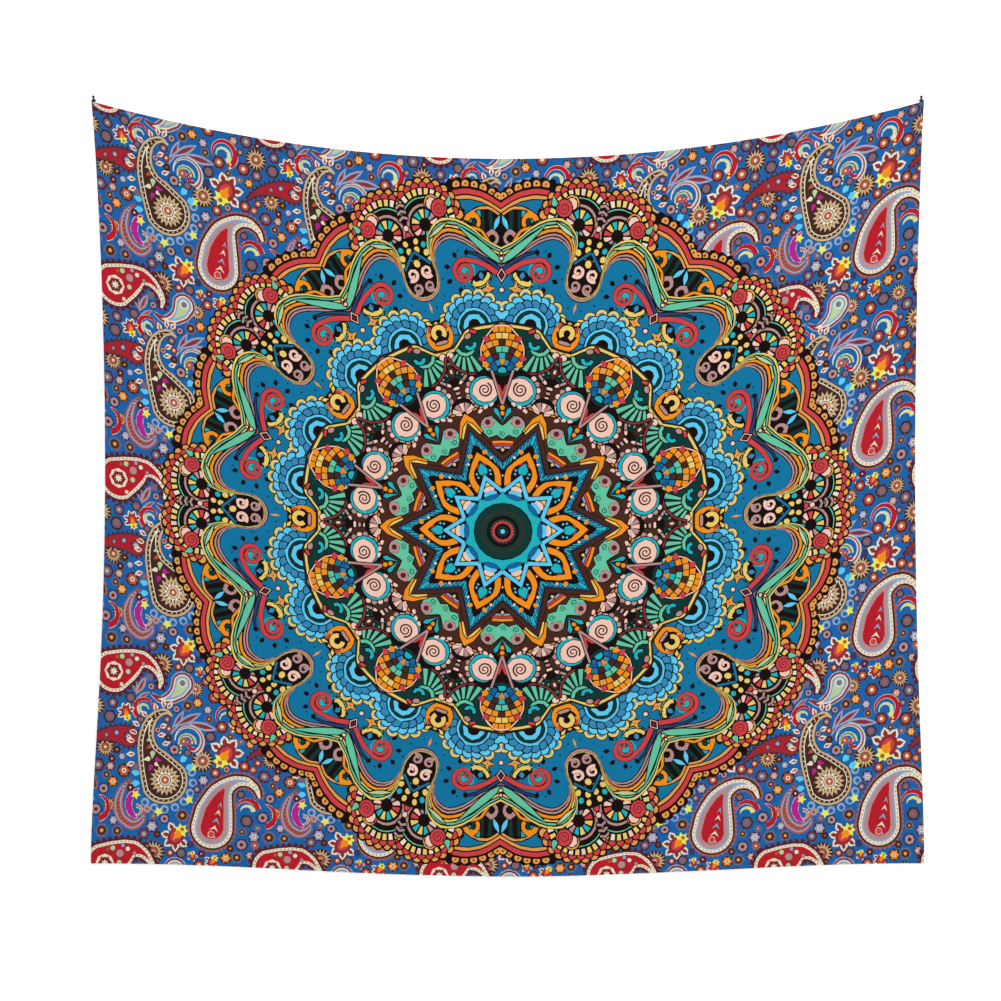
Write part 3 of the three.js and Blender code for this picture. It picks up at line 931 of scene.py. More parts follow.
def ink_edges(triangles, ink):
    """The edges that part two inks, or ink from no ink, as pairs of point numbers."""
    edges = np.sort(triangles[:, [[0, 1], [1, 2], [2, 0]]].reshape(-1, 2), axis=1)
    order = np.lexsort(edges.T)
    edges, ink = edges[order], np.repeat(ink, 3)[order]
    twin = (edges[1:] == edges[:-1]).all(1)
    keep = np.ones(len(edges), bool)
    keep[1:][twin] = False
    keep[:-1][twin & (ink[1:] == ink[:-1])] = False
    return edges[keep]


def straightened(points, edges, tolerance, longest=24.0, rounds=6):
    """Leaves out points that lie within tolerance of the line between their two neighbours."""
    for _ in range(rounds):
        half = np.concatenate([edges, edges[:, ::-1]])
        half = half[np.argsort(half[:, 0], kind="stable")]
        two = np.flatnonzero(np.bincount(half[:, 0], minlength=len(points)) == 2)
        first = np.searchsorted(half[:, 0], two)
        a, b = half[first, 1], half[first + 1, 1]
        chord = points[b] - points[a]
        off = abs((np.conj(chord) * (points[two] - points[a])).imag) / np.maximum(abs(chord), 1e-9)
        rank = np.full(len(points), np.inf)
        good = (off < tolerance) & (abs(chord) < longest)
        rank[two[good]] = off[good] + 1e-9 * two[good]
        chosen = (rank[two] < rank[a]) & (rank[two] < rank[b])
        gone = np.zeros(len(points), bool)
        gone[two[chosen]] = True
        edges = np.concatenate([edges[~gone[edges].any(1)], np.stack([a, b], 1)[chosen]])
    used, edges = np.unique(edges, return_inverse=True)
    return points[used], edges.reshape(-1, 2)


class Look:
    """Finds the ink at flat points by dropping rays on a triangulation. No ink is -1."""

    def __init__(self, points, triangles, ink):
        places = np.stack([points.real, points.imag, 0 * points.real], 1)
        self.tree = BVHTree.FromPolygons(places.tolist(), triangles.tolist())
        self.ink = np.append(ink, -1)

    def at(self, points):
        down = Vector((0, 0, -1))
        starts = np.stack([points.real, points.imag, 1 + 0 * points.real], 1).tolist()
        hits = [self.tree.ray_cast(Vector(start), down)[2] for start in starts]
        return self.ink[[-1 if hit is None else hit for hit in hits]]


# %% One sector and one repeat
near = [shape for shape in mandala.shapes if (abs(np.angle(shape[0], deg=True)) < SECTOR / 2 + 1).any()]
sector_points, sector_triangles, sector_ink = cut_shapes(near)
sector_look = Look(sector_points, sector_triangles, sector_ink)
edges = ink_edges(sector_triangles, sector_ink)
angle = np.angle(sector_points[edges].mean(1), deg=True)
inside = (angle >= -SECTOR / 2) & (angle < SECTOR / 2)
sector_points, sector_edges = straightened(sector_points, edges[inside], SECTOR_TOLERANCE)

tile_shapes = []
for column in (-1, 0, 1):
    for row in (-1, 0, 1):
        for outline, ink in ground_tile.shapes:
            placed = outline + column * TILE_WIDTH - 1j * row * TILE_LENGTH
            across = placed.real.max() > -2 and placed.real.min() < TILE_WIDTH + 2
            if across and placed.imag.min() < 2 and placed.imag.max() > -TILE_LENGTH - 2:
                tile_shapes.append((placed, ink))
tile_points, tile_triangles, tile_ink = cut_shapes(tile_shapes)
tile_look = Look(tile_points, tile_triangles, tile_ink)
edges = ink_edges(tile_triangles, tile_ink)
middle = tile_points[edges].mean(1)
inside = (middle.real >= 0) & (middle.real < TILE_WIDTH) & (middle.imag <= 0) & (middle.imag > -TILE_LENGTH)
tile_points, tile_edges = straightened(tile_points, edges[inside], TILE_TOLERANCE)
print("edges in a sector:", len(sector_edges), "and in a repeat:", len(tile_edges))


# %% The inks of the whole cloth
# Printing and hanging leave the figure a little off round: distances from its centre, in mm,
# right and up, as drawn and as they lie on the cloth.
DRAWN_X, LAID_X = (-900, -640, -350, 0, 350, 640, 900), (-900, -634, -346, 0, 356, 648, 900)
DRAWN_Y = (-900, -600, -500, -360, -180, 0, 180, 440, 540, 620, 900)
LAID_Y = (-900, -602, -486, -348, -173, 0, 172, 428, 531, 619, 900)


def laid(about):
    """Figure points moved to where they lie on the cloth, by straight steps in each direction."""
    return np.interp(about.real, DRAWN_X, LAID_X) + 1j * np.interp(about.imag, DRAWN_Y, LAID_Y)


def drawn(about):
    """The way back from the cloth to the figure as drawn."""
    return np.interp(about.real, LAID_X, DRAWN_X) + 1j * np.interp(about.imag, LAID_Y, DRAWN_Y)


def figure_ink_at(points):
    """The round figure's ink, found in the middle sector, or -1 outside the figure."""
    about = drawn(points - CENTRE)
    return sector_look.at(about * turn(-SECTOR * np.round(np.angle(about, deg=True) / SECTOR)))


def ink_at(points):
    """The ink at flat points: the figure's where it lies, else the ground's."""
    x = np.clip(points.real, 0.1 - HALF_WIDTH, HALF_WIDTH - 0.1)
    y = np.clip(points.imag, 0.1 - HALF_LENGTH, HALF_LENGTH - 0.1)
    points = x + 1j * y
    right, below = (x + HALF_WIDTH) % TILE_WIDTH, (HALF_LENGTH - y) % TILE_LENGTH
    ground, figure = tile_look.at(right - 1j * below), figure_ink_at(points)
    ground = np.where(ground < 0, INK_NAMES.index("ground"), ground)
    return np.where(figure < 0, ground, figure)


def copies(points, edges, places):
    """Copies of a set of edges. places is a list of functions of points."""
    all_points = np.concatenate([place(points) for place in places])
    shift = (np.arange(len(places)) * len(points))[:, None, None]
    return all_points, (edges[None] + shift).reshape(-1, 2)


spins = [lambda p, k=k: laid(p * turn(SECTOR * k)) + CENTRE for k in range(REPEATS)]
figure_points, figure_edges = copies(sector_points, sector_edges, spins)
corner = -HALF_WIDTH + 1j * HALF_LENGTH
shifts = [
    lambda p, c=c, r=r: p + corner + c * TILE_WIDTH - 1j * r * TILE_LENGTH
    for c in range(TILE_COLUMNS)
    for r in range(TILE_ROWS_DOWN)
]
ground_points, ground_edges = copies(tile_points, tile_edges, shifts)
middle = ground_points[ground_edges].mean(1)
on_cloth = (abs(middle.real) < HALF_WIDTH + 4) & (abs(middle.imag) < HALF_LENGTH + 4)
ground_edges, middle = ground_edges[on_cloth], middle[on_cloth]
ground_edges = ground_edges[figure_ink_at(middle) < 0]
print("edges of the figure:", len(figure_edges), "and of the ground:", len(ground_edges))

# %% The light mesh of the print
HOLES = [oval(745.3 * side + 647.2j, 3.2, 1.9, 90, 10) for side in (-1, 1)]


def rectangle(width, length, spacing):
    """A rectangle's outline, walked anticlockwise in even steps."""
    low, high = width - 1j * length, width + 1j * length
    corners = np.array([-high, low, high, -low]) / 2
    sides = np.roll(corners, -1) - corners
    walks = [start + side * np.arange(0, 1, spacing / abs(side)) for start, side in zip(corners, sides)]
    return np.concatenate(walks)


def joined(sets):
    """Several sets of points and edges as one."""
    starts = np.cumsum([0] + [len(points) for points, _ in sets[:-1]])
    edges = np.concatenate([edges + start for (_, edges), start in zip(sets, starts)])
    return np.concatenate([points for points, _ in sets]), edges


def loop(outline):
    """An outline and the edges that close it."""
    count = np.arange(len(outline))
    return outline, np.stack([count, np.roll(count, -1)], 1)


def mesh_inside(points, edges, extra):
    """Triangulates points with fixed edges, and extra loose points."""
    result = delaunay_2d_cdt(as_vectors(np.append(points, extra)), edges.tolist(), [], 0, 1e-3, False)
    flat = np.array(result[0])
    return flat[:, 0] + 1j * flat[:, 1], np.array(result[2])


def loose_points(spacing, margin):
    """Rows of points over the cloth, every second row shifted by half a step."""
    rows = np.arange(-HALF_LENGTH + margin, HALF_LENGTH - margin, spacing * 0.866)
    columns = np.arange(-HALF_WIDTH + margin, HALF_WIDTH - margin - spacing / 2, spacing)
    shift = (np.arange(len(rows)) % 2)[:, None] * spacing / 2
    return (columns[None, :] + shift + 1j * rows[:, None]).ravel()


def in_holes(points):
    """True for points inside a needle's hole."""
    away = [points - hole.mean() for hole in HOLES]
    return np.any([abs(gap.real / 0.93 + 1j * gap.imag / 1.58) < 1 for gap in away], 0)


def snapped(value, edge):
    """Numbers within a hundredth of the cloth's edge, put exactly on it."""
    return np.where(abs(abs(value) - edge) < 0.01, np.sign(value) * edge, value)


rings = [loop(rectangle(WIDTH, LENGTH, 12)), *(loop(hole) for hole in HOLES)]
used, ground_edges = np.unique(ground_edges, return_inverse=True)
ground_set = (ground_points[used], ground_edges.reshape(-1, 2))
every_point, every_edge = joined([(figure_points, figure_edges), ground_set, *rings])
front_flat, front_triangles = mesh_inside(every_point, every_edge, loose_points(36, 9))
front_flat = snapped(front_flat.real, HALF_WIDTH) + 1j * snapped(front_flat.imag, HALF_LENGTH)
middle = front_flat[front_triangles].mean(1)
on_cloth = (abs(middle.real) < HALF_WIDTH) & (abs(middle.imag) < HALF_LENGTH) & ~in_holes(middle)
used, front_triangles = np.unique(front_triangles[on_cloth], return_inverse=True)
front_flat, front_triangles = front_flat[used], front_triangles.reshape(-1, 3)
front_ink = ink_at(front_flat[front_triangles].mean(1))
print("front:", len(front_triangles), "triangles")


# %% [markdown]
# ## How the cloth hangs
# Two corners hold it, so the top edge swings in a shallow curve, the sides pull in a little and
# the middle of the lower edge hangs lowest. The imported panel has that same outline. Here the
# cloth also leaves the wall a few millimetres in soft folds that run down from the pins.

# %% The hung cloth
HUNG_WIDTH = (panel_high[0] - panel_low[0]) * 1000
HUNG_SIDE, TOP_SAG, BOTTOM_BOW = 1333.0, 101.0, 23.0
LEFT_PINCH, RIGHT_PINCH, CORNER_RISE = 25.0, 16.0, 6.0
FRONT, BACK = -panel_low[1] * 1000, -panel_high[1] * 1000


def lift(across, down):
    """Millimetres off the wall: nothing at the pins, flutes that widen downwards, a loose hem."""
    near_pin = np.exp(-((1 - abs(across)) ** 2 * 60 + down**2 * 90))
    calm = 3.0 + 1.2 * np.sin(5.2 * across + 0.8) * np.sin(2.4 * down + 0.4)
    flutes = np.sin(11 * across + 1.3 * np.sin(3 * across) + 0.6) * (0.35 + 1.5 * down**1.5)
    swags = 1.1 * np.sin(26 * (down + 0.22 * (1 - across**2))) * np.exp(-5 * down) * (1 - across**2)
    curl = 1.6 * np.exp(-((down - 1) ** 2) * 900) + 0.9 * np.exp(-((1 - abs(across)) ** 2) * 1500)
    return (calm + flutes + swags + curl) * (1 - near_pin)


def hung(flat, depth):
    """The hung place, in metres, of a flat point that lies so many millimetres before the wall.

    The top edge sags in a parabola, the lower one bows in a squared cosine, and the sides pull in
    by a smooth hump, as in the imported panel. The lift is added to the depth.
    """
    across, down = flat.real / HALF_WIDTH, 0.5 - flat.imag / LENGTH
    down = np.clip(down, 0, 1)
    pinch = (4 * down * (1 - down)) ** 0.9 * (1 - down**6)
    left = -HUNG_WIDTH / 2 + LEFT_PINCH * pinch
    right = HUNG_WIDTH / 2 - RIGHT_PINCH * pinch
    x = left + (right - left) * (across + 1) / 2
    sag = TOP_SAG * (1 - across**2) * (1 - down**2)
    bow = BOTTOM_BOW * np.cos(np.pi / 2 * across) ** 2 * down**2
    z = CORNER_RISE - HUNG_SIDE * down - sag - bow
    return np.stack([x, -(depth + lift(across, down)), z], -1) / 1000


def facing(flat):
    """The hung surface's normal, from the cross product of small steps across and down."""
    x = np.clip(flat.real, 1 - HALF_WIDTH, HALF_WIDTH - 1)
    inside = x + 1j * np.clip(flat.imag, 1 - HALF_LENGTH, HALF_LENGTH - 1)
    across = hung(inside + 1, 0) - hung(inside - 1, 0)
    upward = hung(inside + 1j, 0) - hung(inside - 1j, 0)
    normal = np.cross(across, upward)
    return normal / np.linalg.norm(normal, axis=-1, keepdims=True)


print("hung width:", round(HUNG_WIDTH, 1), "mm, cloth between", round(BACK, 2), "and", round(FRONT, 2))

# %% [markdown]
# ## Meshes from arrays
# A small helper turns points and triangles into an object at the origin. Colours go into one
# attribute named print, one value for each corner of each triangle, so an ink ends exactly
# at its outline. Inks are given in sRGB and stored in linear light, as the renderer needs.

# %% Making a piece
def linear(hexes):
    """Linear light from sRGB hex colours, by the sRGB curve."""
    value = np.array([[int(h[i : i + 2], 16) for i in (0, 2, 4)] for h in hexes]) / 255
    return np.where(value > 0.04045, ((value + 0.055) / 1.055) ** 2.4, value / 12.92)


COLOURS = linear(list(INKS.values()))


def make_piece(name, points, triangles):
    """A mesh object of these triangles, shaded smooth."""
    mesh = bpy.data.meshes.new(name)
    mesh.vertices.add(len(points))
    mesh.vertices.foreach_set("co", np.asarray(points, np.float32).ravel())
    mesh.loops.add(triangles.size)
    mesh.loops.foreach_set("vertex_index", triangles.astype(np.int32).ravel())
    mesh.polygons.add(len(triangles))
    mesh.polygons.foreach_set("loop_start", np.arange(0, triangles.size, 3, dtype=np.int32))
    mesh.polygons.foreach_set("use_smooth", np.ones(len(triangles), bool))
    mesh.update(calc_edges=True)
    piece = bpy.data.objects.new(name, mesh)
    bpy.context.scene.collection.objects.link(piece)
    return piece


def paint(piece, corners):
    """Stores a linear colour for each corner."""
    layer = piece.data.color_attributes.new("print", "FLOAT_COLOR", "CORNER")
    solid = np.append(corners, np.ones((len(corners), 1)), 1)
    layer.data.foreach_set("color", solid.astype(np.float32).ravel())


def add_map(piece, name, corners):
    """Stores a UV place for each corner."""
    layer = piece.data.uv_layers.new(name=name)
    layer.data.foreach_set("uv", np.asarray(corners, np.float32).ravel())


def rim_edges(triangles, count):
    """The directed edges that only one triangle uses."""
    edges = triangles[:, [[0, 1], [1, 2], [2, 0]]].reshape(-1, 2)
    return edges[~np.isin(edges[:, 0] * count + edges[:, 1], edges[:, 1] * count + edges[:, 0])]


def walls(edges, back_of):
    """Two triangles for each front edge, which join it to the back's copy of its two points."""
    a, b = edges.T
    return np.concatenate([np.stack([b, a, back_of[a]], 1), np.stack([b, back_of[a], back_of[b]], 1)])


# %% [markdown]
# ## The printed panel
# Its front is the light mesh, hung. Its back is a plain even mesh with the print shining
# through, blurred and pale, as dye does on thin polyester. Narrow walls join the two.

# %% The panel's back and walls
rim = rim_edges(front_triangles, len(front_flat))
rim_points = np.unique(rim)
number = np.full(len(front_flat), -1)
number[rim_points] = np.arange(len(rim_points))
back_flat, back_triangles = mesh_inside(front_flat[rim_points], number[rim], loose_points(26, 7))
back_triangles = back_triangles[~in_holes(back_flat[back_triangles].mean(1))]
nearest = np.argmin(abs(back_flat[: len(rim_points) + 50, None] - front_flat[rim_points][None]), 0)
back_of = np.full(len(front_flat), -1)
back_of[rim_points] = len(front_flat) + nearest

panel_flat = np.concatenate([front_flat, back_flat])
panel_depth = np.repeat([FRONT, BACK], [len(front_flat), len(back_flat)])
panel_walls = walls(rim, back_of)
panel_triangles = np.concatenate([front_triangles, back_triangles[:, ::-1] + len(front_flat), panel_walls])
panel_places = hung(panel_flat, panel_depth)
panel = make_piece("printed_cloth_panel", panel_places, panel_triangles)
gap = abs(back_flat[nearest] - front_flat[rim_points]).max()
print("panel:", len(panel_triangles), "triangles; gap of matched points:", round(gap, 4))

# %% The panel's colours, normals and maps
PALE = np.array([0.62, 0.63, 0.66])
seen = np.mean([COLOURS[ink_at(back_flat + step)] for step in (0, 3, -3, 3j, -3j)], 0)
back_colour = 0.35 * seen + 0.65 * (0.6 * PALE + 0.4 * seen.mean(1, keepdims=True) * PALE / PALE.mean())
corner_points = panel_triangles.ravel()
front_end = 3 * len(front_triangles)
back_end = front_end + 3 * len(back_triangles)
corners = np.zeros((len(corner_points), 3))
corners[:front_end] = np.repeat(COLOURS[front_ink], 3, 0)
back_part = corner_points[front_end:] - len(front_flat)
on_back = (back_part >= 0)[:, None]
rim_colour = COLOURS[ink_at(panel_flat[corner_points[front_end:]])]
corners[front_end:] = np.where(on_back, back_colour[np.maximum(back_part, 0)], rim_colour)
paint(panel, corners)

outward = facing(panel_flat[corner_points])
outward[front_end:back_end] *= -1
first, second, third = (panel_places[panel_walls[:, k]] for k in range(3))
wall_normal = np.cross(second - first, third - first)
wall_normal /= np.linalg.norm(wall_normal, axis=1, keepdims=True)
outward[back_end:] = np.repeat(wall_normal, 3, 0)
panel.data.normals_split_custom_set(outward.tolist())

# %% [markdown]
# The map named weave is the flat cloth in metres, so threads keep their size. The map named
# OFBake gives each part of the panel its own room in one square: the back in a strip at the
# foot, the walls in a thin line above it, and the front in all the rest.

# %% The panel's maps
MAP_SIDE, MAP_WIDTH = 0.001, 0.998
BACK_FOOT, BACK_HEIGHT = 0.003, 0.112
WALL_FOOT, WALL_HEAD = 0.122, 0.129
FRONT_FOOT, FRONT_HEIGHT = 0.137, 0.862

flat_corners = panel_flat[corner_points]
add_map(panel, "weave", np.stack([flat_corners.real, flat_corners.imag], 1) / 1000)
upward = flat_corners.imag / LENGTH + 0.5
across = MAP_SIDE + MAP_WIDTH * (flat_corners.real / WIDTH + 0.5)
height = FRONT_FOOT + FRONT_HEIGHT * upward
height[front_end:back_end] = BACK_FOOT + BACK_HEIGHT * upward[front_end:back_end]
walk = np.arange(len(rim)) / len(rim)
ahead = walk + 1 / len(rim)
across[back_end : back_end + 3 * len(rim)] = np.stack([ahead, walk, walk], 1).ravel()
across[back_end + 3 * len(rim) :] = np.stack([ahead, walk, ahead], 1).ravel()
wall_heights = [[WALL_HEAD, WALL_HEAD, WALL_FOOT], [WALL_HEAD, WALL_FOOT, WALL_FOOT]]
height[back_end:] = np.repeat(wall_heights, len(rim), 0).ravel()
add_map(panel, "OFBake", np.stack([across, height], 1))
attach(panel, "cloth")
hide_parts("printed_panel")
print("panel colours:", corners.min().round(3), "to", corners.max().round(3))

# %% [markdown]
# ## The hems
# Each edge is folded to the back and sewn down. A hem is a thin band behind the panel, rounded
# at both edges, and it shows the printed side of the cloth. The side hems run the full length
# and the needles pass through their upper ends; the other two lie between them.

# %% The hems
HEM_WIDTH, HEM_THICKNESS, END_GAP = 14.0, 0.9, 0.4
HOLE_DROP, HOLE_CLEARANCE = 1.1j, 2.4
INSETS = np.array([0, 0.25, 0.7, 2.5, 5, 7.5, 10, 12.5, 13.3, 13.75, HEM_WIDTH])
NO_OUTLINE = (np.zeros(0, complex), np.zeros((0, 2), int))


def make_hem(name, node, start, along, inward, length):
    """A band with rounded edges: its half-thickness is a quarter circle near each edge.

    A side hem has a hole round the needle, which lies on the side that the hem is folded from.
    """
    run = np.linspace(0, length, int(length / 5) + 1)
    band = (start + along * run[:, None] + inward * INSETS[None, :]).ravel()
    holes = [hole - HOLE_DROP for hole in HOLES if (hole.real * inward.real < 0).all()]
    for hole in holes:
        band = band[abs(band - hole.mean()) > HOLE_CLEARANCE]
    points, edges = joined([loop(hole) for hole in holes]) if holes else NO_OUTLINE
    flat, triangles = mesh_inside(points, edges, band)
    keep = np.ones(len(triangles), bool)
    for hole in holes:
        away = flat[triangles].mean(1) - hole.mean()
        keep &= abs(away.real / 0.95 + 1j * away.imag / 1.6) > 1
    corner = flat[triangles]
    area = (np.conj(corner[:, 1] - corner[:, 0]) * (corner[:, 2] - corner[:, 0])).imag
    triangles = triangles[keep & (area > 1e-4)]
    count = len(flat)
    inset = ((flat - start) * np.conj(inward)).real
    edge = np.clip(np.minimum(inset, HEM_WIDTH - inset) / 0.7, 0, 1)
    half = HEM_THICKNESS / 2 * (0.25 + 0.75 * np.sqrt(1 - (1 - edge) ** 2))
    depth = HEM_THICKNESS / 2
    places = np.concatenate([hung(flat, depth + half), hung(flat, depth - half)])
    sides = walls(rim_edges(triangles, count), np.arange(count) + count)
    piece = make_piece(name, places, np.concatenate([triangles, triangles[:, ::-1] + count, sides]))
    sample = np.mean([COLOURS[ink_at(flat + shift)] for shift in (0, 1.5, -1.5, 1.5j, -1.5j)], 0)
    all_corners = np.concatenate([triangles, triangles[:, ::-1], sides % count]).ravel()
    paint(piece, sample[all_corners] * 0.94)
    add_map(piece, "weave", np.stack([flat[all_corners].real, flat[all_corners].imag], 1) / 1000)
    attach(piece, "cloth")
    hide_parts(node)
    print(name, len(piece.data.polygons), "triangles")
    return piece


side = HEM_WIDTH + END_GAP
top_left = side - HALF_WIDTH + HALF_LENGTH * 1j
hems = [
    make_hem("left_hem_band", "left_hem", -HALF_WIDTH - HALF_LENGTH * 1j, 1j, 1 + 0j, LENGTH),
    make_hem("right_hem_band", "right_hem", HALF_WIDTH - HALF_LENGTH * 1j, 1j, -1 + 0j, LENGTH),
    make_hem("top_hem_band", "top_hem", top_left, 1 + 0j, -1j, WIDTH - 2 * side),
    make_hem("bottom_hem_band", "bottom_hem", np.conj(top_left), 1 + 0j, 1j, WIDTH - 2 * side),
]

# %% [markdown]
# ## The stitches
# A lockstitch row is a line of short grains, each a little longer than the gap between them.
# One grain is a few rings of five points, and the whole row is one array of shifted grains.

# %% The stitch rows
PITCH, STITCH_LENGTH, STITCH_RADIUS = 3.0, 2.5, 0.19
INSET = 11.0


def grain():
    """A long grain: rings of five points whose radius is a half sine along it, and two ends."""
    along = np.array([-0.42, -0.2, 0.2, 0.42]) * STITCH_LENGTH
    radius = STITCH_RADIUS * np.array([0.75, 1, 1, 0.75])
    around = np.arange(5) * 2 * np.pi / 5
    rings = np.stack(
        [
            np.repeat(along, 5),
            np.outer(radius, np.cos(around)).ravel(),
            np.outer(radius, np.sin(around)).ravel(),
        ],
        1,
    )
    points = np.concatenate([rings, [[-STITCH_LENGTH / 2, 0, 0]], [[STITCH_LENGTH / 2, 0, 0]]])
    ring, place = np.divmod(np.arange(15), 5)
    a, b = ring * 5 + place, ring * 5 + (place + 1) % 5
    sides = np.concatenate([np.stack([a, b, a + 5], 1), np.stack([b, b + 5, a + 5], 1)])
    k = np.arange(5)
    after = (k + 1) % 5
    low_end, high_end = np.stack([after, k, 0 * k + 20], 1), np.stack([k + 15, after + 15, 0 * k + 21], 1)
    return points, np.concatenate([sides, low_end, high_end])


def make_stitches(name, node, start, along, length):
    """A row of grains that lies on the panel's front, each a touch askew."""
    points, faces = grain()
    count = int(length / PITCH)
    centre = start + along * (np.arange(count) + 0.5) * length / count
    askew = turn(3 * np.sin(np.arange(count) * 2.4))[:, None]
    flat = centre[:, None] + along * askew * (points[:, 0] + 1j * points[:, 1])[None]
    depth = FRONT + 0.42 + points[:, 2][None] - 0.05 * (points[:, 0][None] / 1.25) ** 2 + 0 * flat.real
    faces = faces[None] + (np.arange(count) * len(points))[:, None, None]
    piece = make_piece(name, hung(flat.ravel(), depth.ravel()), faces.reshape(-1, 3))
    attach(piece, "cloth")
    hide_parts(node)
    print(name, count, "stitches")
    return piece


row_width, row_length = WIDTH - 2 * HEM_WIDTH, LENGTH - 2 * HEM_WIDTH
left, low = -row_width / 2, -1j * row_length / 2
top, right = (HALF_LENGTH - INSET) * 1j, HALF_WIDTH - INSET
threads = [
    make_stitches("top_stitch_row", "top_hem_thread", left + top, 1 + 0j, row_width),
    make_stitches("bottom_stitch_row", "bottom_hem_thread", left - top, 1 + 0j, row_width),
    make_stitches("left_stitch_row", "left_hem_thread", low - right, 1j, row_length),
    make_stitches("right_stitch_row", "right_hem_thread", low + right, 1j, row_length),
]

# %% [markdown]
# ## The push pins
# A pin is turned: a steel needle in a black plastic grip with a broad flange, a narrow waist and
# a rounded head. Each piece is a closed profile carried round the pin's own axis.

# %% The push pins
PIN_X = 724.0
NEEDLE = [(-8, 0), (-7.7, 0.07), (-5.5, 0.5), (-5.1, 0.55), (13.7, 0.55), (13.9, 0.4), (13.9, 0)]
BODY = smooth([8.25 + 4.0j, 8.8 + 4.15j, 9.4 + 3.9j, 9.9 + 2.9j, 11.0 + 1.95j, 13.2 + 1.72j, 16 + 1.95j], 5)
CAP = smooth([16 + 1.95j, 17.2 + 2.3j, 18.1 + 2.2j, 18.6 + 1.5j, 18.72 + 0.5j], 5)


def turned_piece(name, axis, foot, along, radius):
    """A profile turned round an axis: rings of points, closed by a fan where it meets the axis."""
    side = np.cross(axis, [1.0, 0, 0])
    side /= np.linalg.norm(side)
    other = np.cross(axis, side)
    segments = 64
    around = np.arange(segments) * 2 * np.pi / segments
    ring = np.cos(around)[:, None] * side + np.sin(around)[:, None] * other
    body = along[1:-1, None, None] * axis + radius[1:-1, None, None] * ring
    points = foot + np.concatenate([body.reshape(-1, 3), [along[0] * axis], [along[-1] * axis]])
    rows = len(along) - 2
    row, place = np.divmod(np.arange((rows - 1) * segments), segments)
    a, b = row * segments + place, row * segments + (place + 1) % segments
    sides = np.concatenate([np.stack([a, a + segments, b], 1), np.stack([b, a + segments, b + segments], 1)])
    k = np.arange(segments)
    low = np.stack([k, (k + 1) % segments, 0 * k + rows * segments], 1)
    top = (rows - 1) * segments
    high = np.stack([top + (k + 1) % segments, top + k, 0 * k + rows * segments + 1], 1)
    return make_piece(name, points / 1000, np.concatenate([sides, low, high]))


for side_name, sign in (("left", -1), ("right", 1)):
    joint = next(j for j in frame["joints"] if j["name"] == side_name + "_pin_pull")
    axis = np.array(joint["axis"], float)
    axis /= np.linalg.norm(axis)
    foot = np.array([sign * PIN_X, 0, 0])
    needle_path = np.array(NEEDLE, float)
    needle = turned_piece(side_name + "_needle", axis, foot, needle_path[:, 0], needle_path[:, 1])
    profile = np.concatenate([[14.2], [14.2 + 0.6j], [8.25 + 0.6j], BODY[:-1], CAP, [18.74]])
    grip = turned_piece(side_name + "_grip", axis, foot, profile.real, profile.imag)
    for piece, node, slot in ((needle, "_pin_needle", "pin_steel"), (grip, "_pin_grip", "pin_plastic")):
        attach(piece, side_name + "_pin")
        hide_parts(side_name + node)
    print(side_name, "pin axis", axis.round(3))

# %% [markdown]
# ## Finishes
# A material is a small network. The class below lets it be written as arithmetic: each operator
# adds one Math node. Colours go through Mix nodes, because a Math node would turn them grey.

# %% Shader arithmetic
class Value:
    """A number socket. Plus, minus and times on it add Math nodes."""

    def __init__(self, shader, socket):
        self.shader, self.socket = shader, socket

    def maths(self, operation, *others):
        return self.shader.value("ShaderNodeMath", {"operation": operation}, self, *others)

    def __add__(self, other):
        return self.maths("ADD", other)

    def __mul__(self, other):
        return self.maths("MULTIPLY", other)

    def __sub__(self, other):
        return self.maths("SUBTRACT", other)

    def __rsub__(self, other):
        return self.shader.value("ShaderNodeMath", {"operation": "SUBTRACT"}, other, self)

    __radd__, __rmul__ = __add__, __mul__


class Shader:
    """A material with one Principled shader, whose other nodes come from node()."""

    def __init__(self, name):
        self.material = bpy.data.materials.new(name)
        self.material.use_nodes = True
        self.nodes = self.material.node_tree.nodes
        self.links = self.material.node_tree.links
        self.surface = self.nodes["Principled BSDF"]

    def plug(self, node, key, value):
        value = value.socket if isinstance(value, Value) else value
        if isinstance(value, bpy.types.NodeSocket):
            self.links.new(value, node.inputs[key])
        else:
            node.inputs[key].default_value = value

    def node(self, kind, settings=None, **inputs):
        made = self.nodes.new(kind)
        for key, value in (settings or {}).items():
            setattr(made, key, value)
        for key, value in inputs.items():
            self.plug(made, key.replace("_", " "), value)
        return made

    def value(self, kind, settings, *numbers):
        made = self.node(kind, settings)
        for place, number in enumerate(numbers):
            self.plug(made, place, number)
        return Value(self, made.outputs[0])

    def noise(self, vector, scale, detail=2.0):
        made = self.node("ShaderNodeTexNoise", None, Vector=vector, Scale=scale, Detail=detail)
        return Value(self, made.outputs["Factor" if "Factor" in made.outputs else "Fac"])

    def shaded(self, colour, amount):
        """A colour times a number, through a Mix node."""
        made = self.node("ShaderNodeMix", {"data_type": "RGBA", "blend_type": "MULTIPLY"})
        made.inputs[0].default_value = 1.0
        self.plug(made, 6, colour)
        self.plug(made, 7, amount)
        return made.outputs[2]

    def bump(self, height, distance, strength=1.0):
        made = self.node("ShaderNodeBump", None, Height=height, Distance=distance, Strength=strength)
        self.plug(self.surface, "Normal", made.outputs[0])

    def finish(self, **constants):
        for key, value in constants.items():
            self.plug(self.surface, key.replace("_", " "), value)
        return self.material


# %% The cloth
THREAD_PITCH = 0.00055


